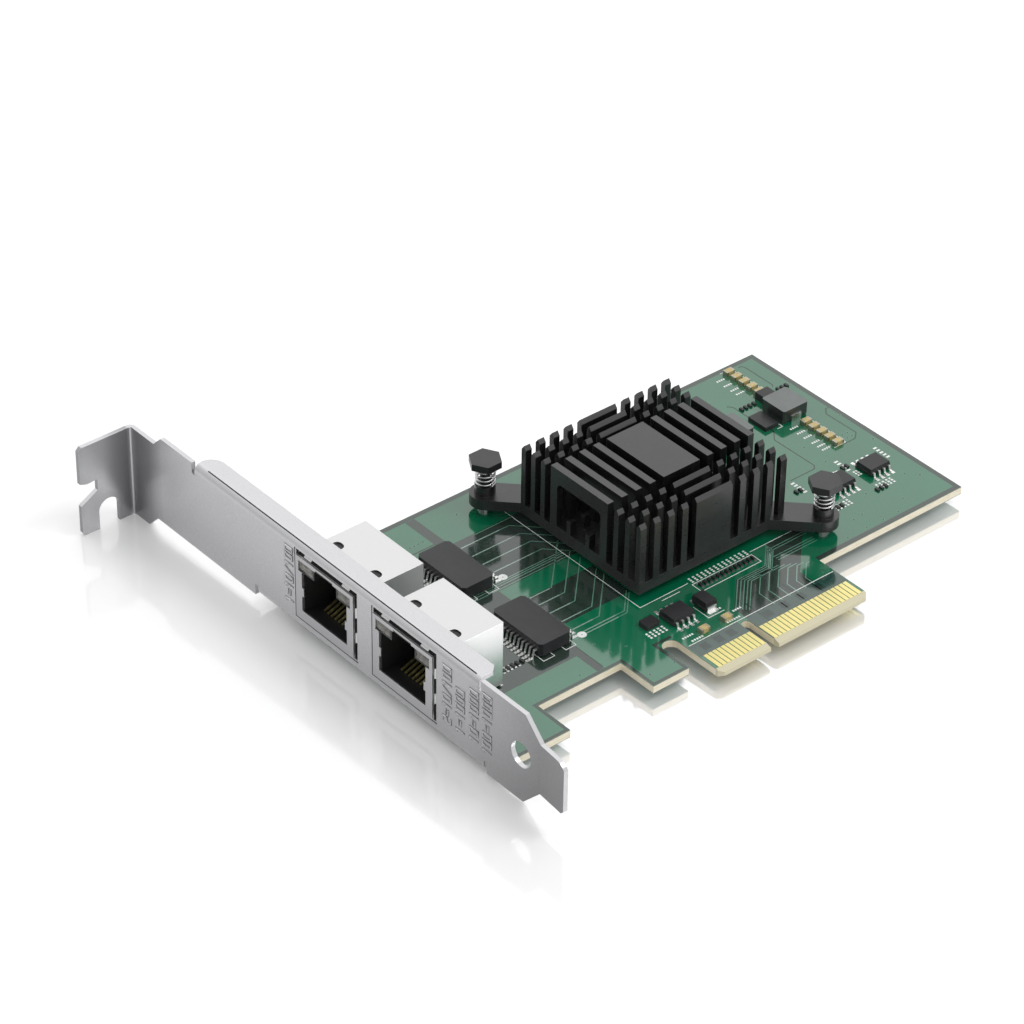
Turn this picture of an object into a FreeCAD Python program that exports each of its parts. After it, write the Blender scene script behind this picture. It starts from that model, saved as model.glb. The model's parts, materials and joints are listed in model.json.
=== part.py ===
# Half-height network interface card with two copper sockets, a full-length slot
# bracket and a cross-cut heat sink on sprung screws. Everything is in millimetres.
#
# While it is modelled, X is 0 at the tips of the edge contacts and grows towards the
# bracket's slot blade, Y is 0 at the middle of the key notch and grows away from the
# bracket, and Z is 0 at the board's component side. At the end every piece moves
# by one offset, so that the origin lies under the middle of the whole card.

import FreeCAD
import Part
import math
import os

V = FreeCAD.Vector

# Circuit board
board_t = 1.57
board_height = 56.1          # across the card, from the plain edge to the far edge
board_edge_x = -12.8         # plain edge beside the contacts
board_front_gap = 0.05       # to the start of the bracket's inner bend
board_back_y = 58.3
shoulder_x = -4.45           # tail and shoulder stand out to here
recess_y0 = -42.7
recess_y1 = -24.1
recess_corner_r = 0.2
hook_slot_y0 = -16.0         # slot between the shoulder and the contact tongue
hook_slot_root_x = -12.5
board_far_x = board_edge_x - board_height

# Edge contacts, on the pitch and steps of the four-lane slot
contact_pitch = 1.0
contact_w = 0.8
contact_len = 4.1
contact_t = 0.05
contact_tip_gap = 1.28       # bare bevel between the contacts and the board's tip
bevel_drop = 0.42
key_w = 1.9
key_root_x = -8.2
key_gap_half = 1.5           # key centre to the middle of the nearest contact
contacts_before_key = 11
contacts_after_key = 21
tongue_side_margin = 1.1     # outermost contact's middle to the tongue's side
tongue_chamfer = 0.9

# Folded bracket
sheet_t = 0.86
bracket_w = 18.42
bracket_face_y = -58.96
bracket_len = 120.02         # tab's inner face to the blade's tip
blade_tip_x = 13.2
tab_len = 11.43
tab_bend_r = 0.4
tab_jog = 2.9                # the tab's low edge lies this much lower than the plate's
tab_w = 19.05
jog_top_x = -97.6
jog_low_x = -99.5
blade_bend_x = 6.75
blade_angle = 5.0            # degrees, forward
blade_low_z = 1.9
blade_top_z = 12.1
blade_corner_r = 2.2
blade_chamfer = 0.6
slope_top_x = 2.85
slope_low_x = 2.6
flange_x0 = -87.5
flange_x1 = -9.2
flange_depth = 4.45
flange_bend_r = 0.84
flange_corner_r = 3.0
flange_chamfer = 1.2
relief_w = 0.8
relief_depth = 2.3
foot_flange_overhang = 0.6   # past the board's far edge
foot_flange_inset = 3.05     # short of the board's tail
foot_flange_depth = 2.4
lug_w = 8.0
lug_depth = 9.2
lug_corner_r = 1.5
blade_hole_x = 1.9
blade_hole_z = 7.1
blade_hole_r = 2.5
tab_slot_w = 4.4
tab_slot_offset = 5.5        # bracket face to the middle of the screw slot
tab_slot_depth = 5.9         # from the tab's low edge to the top of the arc
tab_notch_depth = 3.7
tab_notch_inner_low = 8.6    # heights above the tab's low edge
tab_notch_inner_top = 11.0
tab_notch_outer_low = 6.3
tab_notch_outer_top = 11.4
tab_notch_r = 2.0
tab_corner = 0.7

# Screws that hold the board to the bracket's lugs
lug_screw_r = 1.1
lug_head_r = 2.3
lug_head_h = 1.5
lug_screw_inset = 4.3        # lug's outer side to the screw
lug_screw_offset = 5.76      # bracket face to the screws' middles
thread_gap = 0.05
lug_screw_reach = 0.7        # screw end below the lug

# Sockets
port_edge_ratio = 0.337      # far edge to the first socket's middle, of the board's height
port_pitch_ratio = 0.3797    # socket to socket, of the board's height
jack_w = 15.94
jack_top_z = 13.6
jack_low_z = 0.45
jack_proud = 0.34            # the sockets' fronts stand out of the bracket this much
jack_len = 15.4
shield_t = 0.25
shield_gap = 0.05            # shield to plastic body
shield_lip = 2.0             # how far the shield turns in under the body
window_low_gap = 0.12
window_left_gap = 0.13
window_right_gap = 0.75
window_top_gap = 0.95
plug_w = 12.0
plug_low_z = 2.4
plug_top_z = 10.4
plug_len = 12.3
latch_w = 6.1
latch_top_z = 12.6
latch_len = 9.0
opening_w = 12.5             # the shield's opening round the plug
opening_frame_w = 0.77       # shield left beside the lamps
opening_wide_z = 10.6
opening_top_z = 12.8
crown_w = 4.8                # raised middle of the opening's top edge
crown_z = 13.2
guide_low_z = 5.5
guide_top_z = 7.3
guide_depth = 0.5            # guide nibs on the sides of the shield's opening
lamp_inset = 0.72            # shield's side to the lamp
lamp_w = 3.75
lamp_low_z = 10.75
lamp_top_z = 12.95
lamp_len = 6.0
lamp_gap = 0.05
lamp_setback = 0.6           # behind the socket's front
lamp_lens_r = 1.0
lamp_lens_len = 0.6
peg_r = 1.6
peg_gap = 0.05
foot_margin = 0.3            # the foot round each peg is this much wider
peg_x = 5.72
peg_y = 6.3                  # behind the socket's front
peg_reach = 1.2              # below the board
spring_tongue_w = 2.0
spring_tongue_x = 5.25
spring_tongue_end = 8.1      # behind the socket's front
spring_tongue_rise = 0.85
side_tongue_low_z = (3.6, 8.9)
side_tongue_w = 2.1
shield_leg_w = 1.3
shield_leg_y = 8.9           # behind the socket's front
wire_pitch = 1.016
wire_w = 0.45
wire_t = 0.3
wires_per_port = 8
wire_front_y = 3.4           # behind the socket's front
wire_front_z = 2.8
wire_back_y = 10.4
wire_back_z = 5.6
wire_tail_y = 14.1
tail_step_y = 1.27           # tails go down in two staggered rows
tail_reach = 1.1             # wire ends below the board
tail_hole_gap = 0.12

# Line transformers beside the sockets
magnetics_len = 13.1
magnetics_w = 7.1
magnetics_h = 2.5
magnetics_stand = 0.3
magnetics_chamfer = 0.6
magnetics_shift = (0.45, -0.15)               # from each socket's middle
magnetics_offset = 28.36     # bracket face to their middles
magnetics_lead_reach = 1.6
magnetics_lead_w = 0.42
magnetics_pins = 12
magnetics_pitch = 1.0
crosswise_angle = 90.0       # degrees; the transformers lie across the card

# Gull-wing leads
lead_t = 0.15

# Small eight-lead chips
soic_len = 4.9
soic_w = 3.9
soic_h = 1.45
soic_stand = 0.1
soic_taper = 0.12
soic_pins = 4
soic_pitch = 1.27
soic_lead_w = 0.42
soic_reach = 1.05
soic_xy = ((-27.3, 49.9), (-27.3, 41.2), (-16.4, -8.1))

# Controller under the heat sink
controller_side = 25.0
controller_substrate_t = 0.55
controller_cap_side = 21.0
controller_cap_t = 0.75
pad_side = 20.0
pad_t = 0.3

# Heat sink: plates along Y, cut across by slots along X
sink_edge_ratio = 0.1943     # plain board edge to the heat sink, of the board's height
sink_w_ratio = 0.5686
sink_y0 = -10.6
sink_base_t = 2.1
sink_top_z = 16.3
fin_w = 1.4
cross_slot_w = 1.85
fins_each_side = 4
sink_pad_len = 8.5
core_w = 15.2                # middle block that carries the long fins
core_shift = -0.35           # middle block's middle from the heat sink's middle
side_plates = 3
side_plate_w = 1.15
side_plate_bevel = 0.8
tunnel_side = 1.8            # walls beside the tunnel through the middle block
tunnel_low = 0.4             # tunnel floor above the base
tunnel_roof = 3.0
tunnel_corner_r = 1.0
tunnel_rib_h = 2.6
tunnel_rib_w = 1.0
tunnel_ribs = 2
ear_w = 5.8
ear_root_inset = 6.0

# Sprung screws through the heat sink's ears
sink_screw_near = (-6.7, -2.75)               # from the heat sink's near far-side corner
sink_screw_far = (4.65, 5.3)                  # from the heat sink's opposite corner
sink_head_top_z = 11.0
sink_head_af = 5.5           # across flats
sink_head_h = 1.4
sink_shank_r = 0.95
sink_hole_gap = 0.15
spring_r = 1.8               # to the middle of the wire
spring_wire_r = 0.19
spring_turns = 5
spring_runs_per_turn = 9
spring_wire_sides = 5
boss_r = 1.93
boss_h = 1.9
spacer_r = 1.4
nut_r = 2.4
nut_h = 1.6

# Power inductors and their neighbours
inductor_side = 6.2
inductor_h = 2.9
inductor_foot_h = 0.5
inductor_xy = ((-50.7, 49.65), (-50.7, 36.0))
inductor_terminal_w = 2.4
inductor_terminal_t = 0.2
filter_choke = (-55.9, 50.0, 3.2, 3.0, 1.5)   # x, y, size along x, size along y, height
converter_chip = (-50.5, 44.1, 4.8, 3.2, 0.9)

# Chip capacitors, small chips and resistors: a size is length, width, height
cap_size = (2.0, 1.25, 0.9)
cap_pitch = 2.12
cap_row_y = 50.3
cap_row_x = (-66.7, -45.5)   # middle of the first in each row
caps_per_row = 5
cap_terminal = 0.4
lone_caps = ((-10.5, -7.1), (-10.5, -1.8))
resistor_size = (1.0, 0.5, 0.35)
resistor_pitch = 1.04
resistor_row_xy = ((-20.6, 1.3), (-56.2, 43.9), (-56.9, 53.9), (-21.7, 45.6), (-22.3, 35.2),
                   (-30.6, 45.4), (-30.4, 33.6))
resistor_counts = (13, 4, 3, 3, 3, 2, 2)
socket_row_x = -23.8         # a short row close behind the second socket
socket_row_gap = 2.7
socket_row_count = 5
rectifier_size = (3.7, 2.7, 2.1)
rectifier_xy = (-15.75, -2.3)
rectifier_terminal = 0.75
rectifier_terminal_t = 0.2
rectifier_taper = 0.15
regulator_size = (2.2, 2.9, 1.0)
regulator_xy = (-17.7, -13.4)

# Round surfaces that other pieces hide are drawn with this many sides
hidden_round_sides = 16

# Worked out from the sizes above
board_back_z = -board_t
contact_first_y = -key_gap_half - contact_pitch * (contacts_before_key - 1)
contact_last_y = key_gap_half + contact_pitch * (contacts_after_key - 1)
tongue_y0 = contact_first_y - tongue_side_margin
tongue_y1 = contact_last_y + tongue_side_margin
bracket_back_y = bracket_face_y + sheet_t
jack_front_y = bracket_face_y - jack_proud
jack_back_y = jack_front_y + jack_len
lug_screw_y = bracket_face_y + lug_screw_offset
magnetics_y = bracket_face_y + magnetics_offset
board_front_y = bracket_back_y + flange_bend_r + board_front_gap
bracket_low_z = board_back_z - sheet_t
bracket_top_z = bracket_low_z + bracket_w
tab_low_z = bracket_low_z - tab_jog
tab_top_z = tab_low_z + tab_w
tab_inner_x = blade_tip_x - bracket_len
tab_outer_x = tab_inner_x - sheet_t
tab_tip_y = bracket_face_y - tab_len
lug_top_z = board_back_z
foot_flange_x0 = board_far_x - foot_flange_overhang
foot_flange_x1 = shoulder_x - foot_flange_inset
port_a_x = board_far_x + board_height * port_edge_ratio
port_xs = (port_a_x, port_a_x + board_height * port_pitch_ratio)
magnetics_xs = tuple(x + shift for x, shift in zip(port_xs, magnetics_shift))
sink_x1 = board_edge_x - board_height * sink_edge_ratio
sink_x0 = sink_x1 - board_height * sink_w_ratio
sink_pitch = fin_w + cross_slot_w
sink_y1 = sink_y0 + 2 * fins_each_side * sink_pitch + sink_pad_len
sink_screw_xy = (
    (sink_x0 + sink_screw_near[0], sink_y0 + sink_screw_near[1]),
    (sink_x1 + sink_screw_far[0], sink_y1 + sink_screw_far[1]),
)
sink_base_z0 = controller_substrate_t + controller_cap_t + pad_t
sink_base_z1 = sink_base_z0 + sink_base_t
sink_mid_x = (sink_x0 + sink_x1) / 2
core_mid_x = sink_mid_x + core_shift
sink_mid_y = (sink_y0 + sink_y1) / 2


def on_top(z):
    """Maps outline points to the plane at height z."""
    return lambda u, v: V(u, v, z)


def on_front(y):
    """Maps outline points to the upright plane across the card at y."""
    return lambda u, v: V(u, y, v)


def on_side(x):
    """Maps outline points to the upright plane along the card at x."""
    return lambda u, v: V(x, u, v)


def corner(before, here, after, r):
    """Start, middle and end of the arc that rounds one corner of an outline."""
    to_before = (before - here).normalize()
    to_after = (after - here).normalize()
    half = math.acos(max(-1.0, min(1.0, to_before.dot(to_after)))) / 2
    reach = r / math.tan(half)
    centre = here + (to_before + to_after).normalize() * (r / math.sin(half))
    middle = centre + (here - centre).normalize() * r
    return here + to_before * reach, middle, here + to_after * reach


def face(points, place):
    """A flat face from (u, v) or (u, v, corner radius) points."""
    spots = [place(p[0], p[1]) for p in points]
    count = len(points)
    edges = []
    pen = None
    first = None
    for i, p in enumerate(points):
        here = spots[i]
        r = p[2] if len(p) > 2 else 0.0
        start, middle, end = here, None, here
        if r > 0:
            start, middle, end = corner(spots[i - 1], here, spots[(i + 1) % count], r)
        if pen is None:
            first = start
        elif (start - pen).Length > 1e-6:
            edges.append(Part.LineSegment(pen, start).toShape())
        if middle is not None:
            edges.append(Part.Arc(start, middle, end).toShape())
        pen = end
    if (first - pen).Length > 1e-6:
        edges.append(Part.LineSegment(pen, first).toShape())
    return Part.Face(Part.Wire(edges))


def plate(points, z0, z1):
    """A flat piece of an outline in X and Y."""
    return face(points, on_top(z0)).extrude(V(0, 0, z1 - z0))


def panel(points, y0, y1):
    """A flat piece of an outline in X and Z."""
    return face(points, on_front(y0)).extrude(V(0, y1 - y0, 0))


def rail(points, x0, x1):
    """A straight piece of a section in Y and Z."""
    return face(points, on_side(x0)).extrude(V(x1 - x0, 0, 0))


def block(x0, x1, y0, y1, z0, z1):
    return Part.makeBox(x1 - x0, y1 - y0, z1 - z0, V(x0, y0, z0))


def rod(x, y, z0, z1, r):
    return Part.makeCylinder(r, z1 - z0, V(x, y, z0))


def post(x, y, z0, z1, r):
    """A round pin that other pieces hide, with few sides; its corners lie on the radius."""
    return plate(polygon(x, y, r, hidden_round_sides), z0, z1)


def bore(x, y, z0, z1, r):
    """A cutter for a hole that other pieces hide, with few sides; its flats touch the radius."""
    reach = r / math.cos(math.pi / hidden_round_sides)
    return plate(polygon(x, y, reach, hidden_round_sides), z0, z1)


def joined(shapes):
    result = shapes[0]
    if len(shapes) > 1:
        result = result.fuse(shapes[1:])
    return result.removeSplitter()


def rectangle(x0, x1, y0, y1):
    return [(x0, y0), (x1, y0), (x1, y1), (x0, y1)]


def chamfered_rectangle(x0, x1, y0, y1, c):
    return [(x0 + c, y0), (x1 - c, y0), (x1, y0 + c), (x1, y1 - c),
            (x1 - c, y1), (x0 + c, y1), (x0, y1 - c), (x0, y0 + c)]


def polygon(x, y, r, sides):
    """Corner points of a regular polygon, the first one straight along Y."""
    turns = [2 * math.pi * i / sides for i in range(sides)]
    return [(x + r * math.sin(a), y + r * math.cos(a)) for a in turns]


def contact_ys():
    before = [contact_first_y + contact_pitch * i for i in range(contacts_before_key)]
    after = [key_gap_half + contact_pitch * i for i in range(contacts_after_key)]
    return before + after


def lug_screw_xs():
    return (foot_flange_x0 + lug_screw_inset, foot_flange_x1 - lug_screw_inset)


def wire_xs(port_x):
    first = port_x - wire_pitch * (wires_per_port - 1) / 2
    return [first + wire_pitch * i for i in range(wires_per_port)]


def tail_y(index):
    """The tails of neighbouring wires go down in two staggered rows."""
    return jack_front_y + wire_tail_y - tail_step_y * (index % 2)


# Circuit board

def circuit_board():
    key_r = key_w / 2 - 0.01
    hook_r = (tongue_y0 - hook_slot_y0) / 2 - 0.01
    outline = [
        (board_far_x, board_front_y),
        (shoulder_x, board_front_y),
        (shoulder_x, recess_y0),
        (board_edge_x, recess_y0, recess_corner_r),
        (board_edge_x, recess_y1, recess_corner_r),
        (shoulder_x, recess_y1),
        (shoulder_x, hook_slot_y0),
        (hook_slot_root_x, hook_slot_y0, hook_r),
        (hook_slot_root_x, tongue_y0, hook_r),
        (-tongue_chamfer, tongue_y0),
        (0.0, tongue_y0 + tongue_chamfer),
        (0.0, -key_w / 2),
        (key_root_x, -key_w / 2, key_r),
        (key_root_x, key_w / 2, key_r),
        (0.0, key_w / 2),
        (0.0, tongue_y1 - tongue_chamfer),
        (-tongue_chamfer, tongue_y1),
        (board_edge_x, tongue_y1, recess_corner_r),
        (board_edge_x, board_back_y),
        (board_far_x, board_back_y),
    ]
    board = plate(outline, board_back_z, 0.0)
    top_bevel = rail_along_tip([(-contact_tip_gap, 0.0), (0.0, -bevel_drop), (1.0, -bevel_drop), (1.0, 1.0),
                                (-contact_tip_gap, 1.0)])
    low = board_back_z
    low_bevel = rail_along_tip([(-contact_tip_gap, low), (0.0, low + bevel_drop), (1.0, low + bevel_drop),
                                (1.0, low - 1.0), (-contact_tip_gap, low - 1.0)])
    holes = []
    for x, y in sink_screw_xy:
        holes.append(bore(x, y, board_back_z - 1, 1, sink_shank_r + sink_hole_gap))
    for x in lug_screw_xs():
        holes.append(bore(x, lug_screw_y, board_back_z - 1, 1, lug_screw_r + sink_hole_gap))
    for port_x in port_xs:
        for side in (-1, 1):
            x = port_x + side * peg_x
            holes.append(bore(x, jack_front_y + peg_y, board_back_z - 1, 1, peg_r + peg_gap))
            holes.append(leg_slot(port_x, side))
        for i, x in enumerate(wire_xs(port_x)):
            r = math.hypot(wire_w, wire_t) / 2 + tail_hole_gap
            holes.append(plate(polygon(x, tail_y(i), r, 8), board_back_z - 1, 1))
    return board.cut([top_bevel, low_bevel] + holes)


def rail_along_tip(points):
    """A cutter along the whole contact edge, from a section in X and Z."""
    y0 = tongue_y0 - 1
    y1 = tongue_y1 + 1
    return panel(points, y0, y1)


def edge_contacts(z0, z1):
    x1 = -contact_tip_gap
    x0 = x1 - contact_len
    strips = [block(x0, x1, y - contact_w / 2, y + contact_w / 2, z0, z1) for y in contact_ys()]
    return Part.makeCompound(strips)


# Folded bracket

def bracket_strip():
    """The sheet's run seen from above: tab, main plate and blade."""
    lean = math.radians(blade_angle)
    run = (blade_tip_x - blade_bend_x) / math.cos(lean)
    front_tip = (blade_tip_x, bracket_face_y - run * math.sin(lean))
    back_bend_x = blade_bend_x + sheet_t * math.tan(lean / 2)
    back_tip = (front_tip[0] + sheet_t * math.sin(lean), front_tip[1] + sheet_t * math.cos(lean))
    section = [
        (tab_outer_x, tab_tip_y),
        (tab_outer_x, bracket_back_y, tab_bend_r + sheet_t),
        (back_bend_x, bracket_back_y),
        back_tip,
        front_tip,
        (blade_bend_x, bracket_face_y),
        (tab_inner_x, bracket_face_y, tab_bend_r),
        (tab_inner_x, tab_tip_y),
    ]
    return plate(section, tab_low_z, bracket_top_z)


def bracket_silhouette():
    """The bracket seen from the front, as a cutter much deeper than the tab."""
    beyond = tab_outer_x - 1
    jog_top_end = jog_top_x - (bracket_top_z - tab_top_z)
    jog_low_end = jog_low_x - tab_jog
    tip = blade_tip_x + 0.5
    outline = [
        (beyond, tab_low_z),
        (jog_low_end, tab_low_z),
        (jog_low_x, bracket_low_z),
        (slope_low_x, bracket_low_z),
        (blade_bend_x, blade_low_z),
        (blade_tip_x - blade_chamfer, blade_low_z),
        (tip, blade_low_z + blade_chamfer + 0.5),
        (tip, blade_top_z, blade_corner_r + 0.5),
        (blade_bend_x, blade_top_z),
        (slope_top_x, bracket_top_z),
        (jog_top_x, bracket_top_z),
        (jog_top_end, tab_top_z),
        (beyond, tab_top_z),
    ]
    return panel(outline, tab_tip_y - 1, bracket_back_y + 1)


def folded_flange(edge_z, into, depth, x0, x1, outline):
    """One long edge of the plate folded inwards. into is 1 for the low edge and -1 for the top one."""
    outer_r = flange_bend_r + sheet_t
    root_z = edge_z + into * relief_depth
    section = [
        (bracket_face_y, root_z),
        (bracket_face_y, edge_z, outer_r),
        (bracket_face_y + depth, edge_z),
        (bracket_face_y + depth, edge_z + into * sheet_t),
        (bracket_back_y, edge_z + into * sheet_t, flange_bend_r),
        (bracket_back_y, root_z),
    ]
    low = min(edge_z, root_z) - 1
    high = max(edge_z, root_z) + 1
    return rail(section, x0, x1).common(plate(outline, low, high))


def top_flange():
    y_end = bracket_face_y + flange_depth
    outline = [
        (flange_x0, bracket_face_y - 1),
        (flange_x1, bracket_face_y - 1),
        (flange_x1, y_end - flange_chamfer),
        (flange_x1 - flange_chamfer, y_end),
        (flange_x0, y_end, flange_corner_r),
    ]
    return folded_flange(bracket_top_z, -1, flange_depth, flange_x0, flange_x1, outline)


def foot_flange():
    """The low flange with one lug at each end, which the board is screwed to."""
    y_short = bracket_face_y + foot_flange_depth
    y_lug = bracket_face_y + lug_depth
    x0 = foot_flange_x0
    x1 = foot_flange_x1
    outline = [
        (x0, bracket_face_y - 1),
        (x1, bracket_face_y - 1),
        (x1, y_lug, lug_corner_r),
        (x1 - lug_w, y_lug, lug_corner_r),
        (x1 - lug_w, y_short),
        (x0 + lug_w, y_short),
        (x0 + lug_w, y_lug, lug_corner_r),
        (x0, y_lug, lug_corner_r),
    ]
    flange = folded_flange(bracket_low_z, 1, lug_depth, x0, x1, outline)
    holes = [bore(x, lug_screw_y, bracket_low_z - 1, lug_top_z + 1, lug_screw_r + thread_gap)
             for x in lug_screw_xs()]
    return flange.cut(holes)


def flange_clearance(edge_z, into, x0, x1):
    """The plate's material that a folded flange takes the place of, and a relief at each end."""
    y0 = bracket_face_y - 1
    y1 = bracket_back_y + 1
    root_z = edge_z + into * relief_depth
    low = min(edge_z - into, root_z)
    high = max(edge_z - into, root_z)
    return block(x0 - relief_w, x1 + relief_w, y0, y1, low, high)


def jack_window(port_x):
    x0 = port_x - jack_w / 2 - window_left_gap
    x1 = port_x + jack_w / 2 + window_right_gap
    z0 = jack_low_z - window_low_gap
    z1 = jack_top_z + window_top_gap
    return block(x0, x1, bracket_face_y - 1, bracket_back_y + 1, z0, z1)


def tab_cutters():
    """The screw slot, the notch in the tab's outer edge and the clipped corner."""
    x0 = tab_outer_x - 1
    x1 = tab_inner_x + 1
    slot_y = bracket_face_y - tab_slot_offset
    half = tab_slot_w / 2
    arc_z = tab_low_z + tab_slot_depth
    slot = [(slot_y - half, tab_low_z - 1), (slot_y + half, tab_low_z - 1),
            (slot_y + half, arc_z, half - 0.01), (slot_y - half, arc_z, half - 0.01)]
    inner_y = tab_tip_y + tab_notch_depth
    mid_y = tab_tip_y + tab_notch_depth * 0.4
    notch = [(tab_tip_y - 1, tab_low_z + tab_notch_outer_low - 0.4),
             (inner_y, tab_low_z + tab_notch_inner_low),
             (inner_y, tab_low_z + tab_notch_inner_top, 0.3),
             (mid_y, tab_low_z + tab_notch_inner_top - 0.2, tab_notch_r),
             (tab_tip_y - 1, tab_low_z + tab_notch_outer_top + 0.3)]
    clipped = [(tab_tip_y - 1, tab_low_z - 1), (tab_tip_y + tab_corner, tab_low_z - 1),
               (tab_tip_y + tab_corner, tab_low_z), (tab_tip_y, tab_low_z + tab_corner),
               (tab_tip_y - 1, tab_low_z + tab_corner)]
    top_clipped = [(tab_tip_y - 1, tab_top_z + 1), (tab_tip_y + tab_corner, tab_top_z + 1),
                   (tab_tip_y + tab_corner, tab_top_z), (tab_tip_y, tab_top_z - tab_corner),
                   (tab_tip_y - 1, tab_top_z - tab_corner)]
    return [rail(points, x0, x1) for points in (slot, notch, clipped, top_clipped)]


def mounting_bracket():
    sheet = bracket_strip().common(bracket_silhouette())
    hole_start = V(blade_hole_x, bracket_face_y - 1, blade_hole_z)
    blade_hole = Part.makeCylinder(blade_hole_r, sheet_t + 2, hole_start, V(0, 1, 0))
    sheet = sheet.cut([
        flange_clearance(bracket_top_z, -1, flange_x0, flange_x1),
        flange_clearance(bracket_low_z, 1, foot_flange_x0, foot_flange_x1),
        blade_hole,
    ])
    folded = joined([sheet, top_flange(), foot_flange()])
    return folded.cut([jack_window(x) for x in port_xs] + tab_cutters())


def bracket_screws():
    """Pan-head screws down through the board into the lugs."""
    screws = []
    for x in lug_screw_xs():
        straight = lug_head_h * 0.45
        seat = V(x, lug_screw_y, straight)
        crown = Part.makeCone(lug_head_r, lug_head_r * 0.72, lug_head_h - straight, seat)
        head = joined([rod(x, lug_screw_y, 0.0, straight, lug_head_r), crown])
        arm_l = lug_head_r * 0.55
        arm_w = lug_head_r * 0.14
        cross = [block(x - arm_l, x + arm_l, lug_screw_y - arm_w, lug_screw_y + arm_w,
                       lug_head_h * 0.5, lug_head_h + 1),
                 block(x - arm_w, x + arm_w, lug_screw_y - arm_l, lug_screw_y + arm_l,
                       lug_head_h * 0.5, lug_head_h + 1)]
        shank = post(x, lug_screw_y, bracket_low_z - lug_screw_reach, 0.0, lug_screw_r)
        screws.append(joined([head, shank]).cut(cross))
    return Part.makeCompound(screws)


# Sockets

def jack_opening(port_x):
    """Cuts the shield's front: plug space with guide nibs, lamp corners and raised crown."""
    side = []
    half = opening_w / 2
    wide = jack_w / 2 - opening_frame_w
    side.append((half, plug_low_z))
    side.append((half, guide_low_z))
    side.append((half - guide_depth, guide_low_z))
    side.append((half - guide_depth, guide_top_z))
    side.append((half, guide_top_z))
    side.append((half, opening_wide_z))
    side.append((wide, opening_wide_z))
    side.append((wide, opening_top_z))
    side.append((crown_w / 2, opening_top_z))
    side.append((crown_w / 2, crown_z))
    right = [(port_x + dx, z) for dx, z in side]
    left = [(port_x - dx, z) for dx, z in reversed(side)]
    return panel(right + left, jack_front_y - 1, jack_front_y + 1)


def lamp_box(port_x, side, grow, y0, y1):
    x0 = port_x + side * (jack_w / 2 - lamp_inset)
    x1 = port_x + side * (jack_w / 2 - lamp_inset - lamp_w)
    return block(min(x0, x1) - grow, max(x0, x1) + grow, y0, y1, lamp_low_z - grow, lamp_top_z + grow)


def spring_tongue(root, tip, lift, w0, w1, upright):
    """A pressed strip that bows out of the shield to touch the bracket's window."""
    y0 = jack_front_y + 0.5
    y1 = jack_front_y + spring_tongue_end - 1.5
    mid = jack_front_y + 1.4
    out = root + lift
    skin = shield_t * (1 if lift > 0 else -1)
    section = [(y0, root - skin), (y0, root), (mid, out), (mid + 0.8, out), (y1, root), (y1, root - skin),
               (mid + 0.8, out - skin), (mid, out - skin)]
    if upright:
        return rail(section, w0, w1)
    turned = face([(v, u) for u, v in section], lambda u, v: V(u, v, w0))
    return turned.extrude(V(0, 0, w1 - w0))


def leg_slot(port_x, side):
    """The board's slot for one solder leg of a shield."""
    x = port_x + side * (jack_w / 2 - shield_t / 2)
    y = jack_front_y + shield_leg_y
    gap = tail_hole_gap
    half_x = shield_t / 2 + gap
    half_y = shield_leg_w / 2 + gap
    return block(x - half_x, x + half_x, y - half_y, y + half_y, board_back_z - 1, 1)


def jack_shield(port_x):
    x0 = port_x - jack_w / 2
    x1 = port_x + jack_w / 2
    shell = block(x0, x1, jack_front_y, jack_back_y, jack_low_z, jack_top_z)
    hollow = block(x0 + shield_t, x1 - shield_t, jack_front_y + shield_t, jack_back_y - shield_t,
                   jack_low_z - 1, jack_top_z - shield_t)
    shell = shell.cut([hollow, jack_opening(port_x)])
    lip = block(x0, x1, jack_front_y, jack_front_y + shield_lip, jack_low_z, jack_low_z + shield_t)
    pieces = [shell, lip]
    for side in (-1, 1):
        tongue_x = port_x + side * spring_tongue_x
        w0 = tongue_x - spring_tongue_w / 2
        w1 = tongue_x + spring_tongue_w / 2
        slot_end = jack_front_y + spring_tongue_end
        slot = [(w0 - 0.2, jack_front_y + 0.5), (w1 + 0.2, jack_front_y + 0.5),
                (w1 + 0.2, slot_end, 1.0), (w0 - 0.2, slot_end, 1.0)]
        pieces[0] = pieces[0].cut(plate(slot, jack_top_z - 1, jack_top_z + 1))
        pieces.append(spring_tongue(jack_top_z, 0, spring_tongue_rise, w0, w1, True))
        bridge_y = jack_front_y + 0.5
        pieces.append(block(w0, w1, jack_front_y, bridge_y + 0.01, jack_top_z - shield_t, jack_top_z))
        y1 = jack_front_y + spring_tongue_end - 1.5
        pieces.append(block(w0 - 0.25, w1 + 0.25, y1 - 0.3, y1 + 0.3, jack_top_z - shield_t, jack_top_z))
        leg_x0 = port_x + side * (jack_w / 2 - shield_t)
        leg_x1 = port_x + side * jack_w / 2
        leg_y = jack_front_y + shield_leg_y
        pieces.append(block(min(leg_x0, leg_x1), max(leg_x0, leg_x1), leg_y - shield_leg_w / 2,
                            leg_y + shield_leg_w / 2, board_back_z - tail_reach, jack_low_z + 1))
    for low in side_tongue_low_z:
        rise = window_right_gap - 0.1
        pieces.append(spring_tongue(x1, 0, rise, low, low + side_tongue_w, False))
    return joined(pieces)


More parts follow.
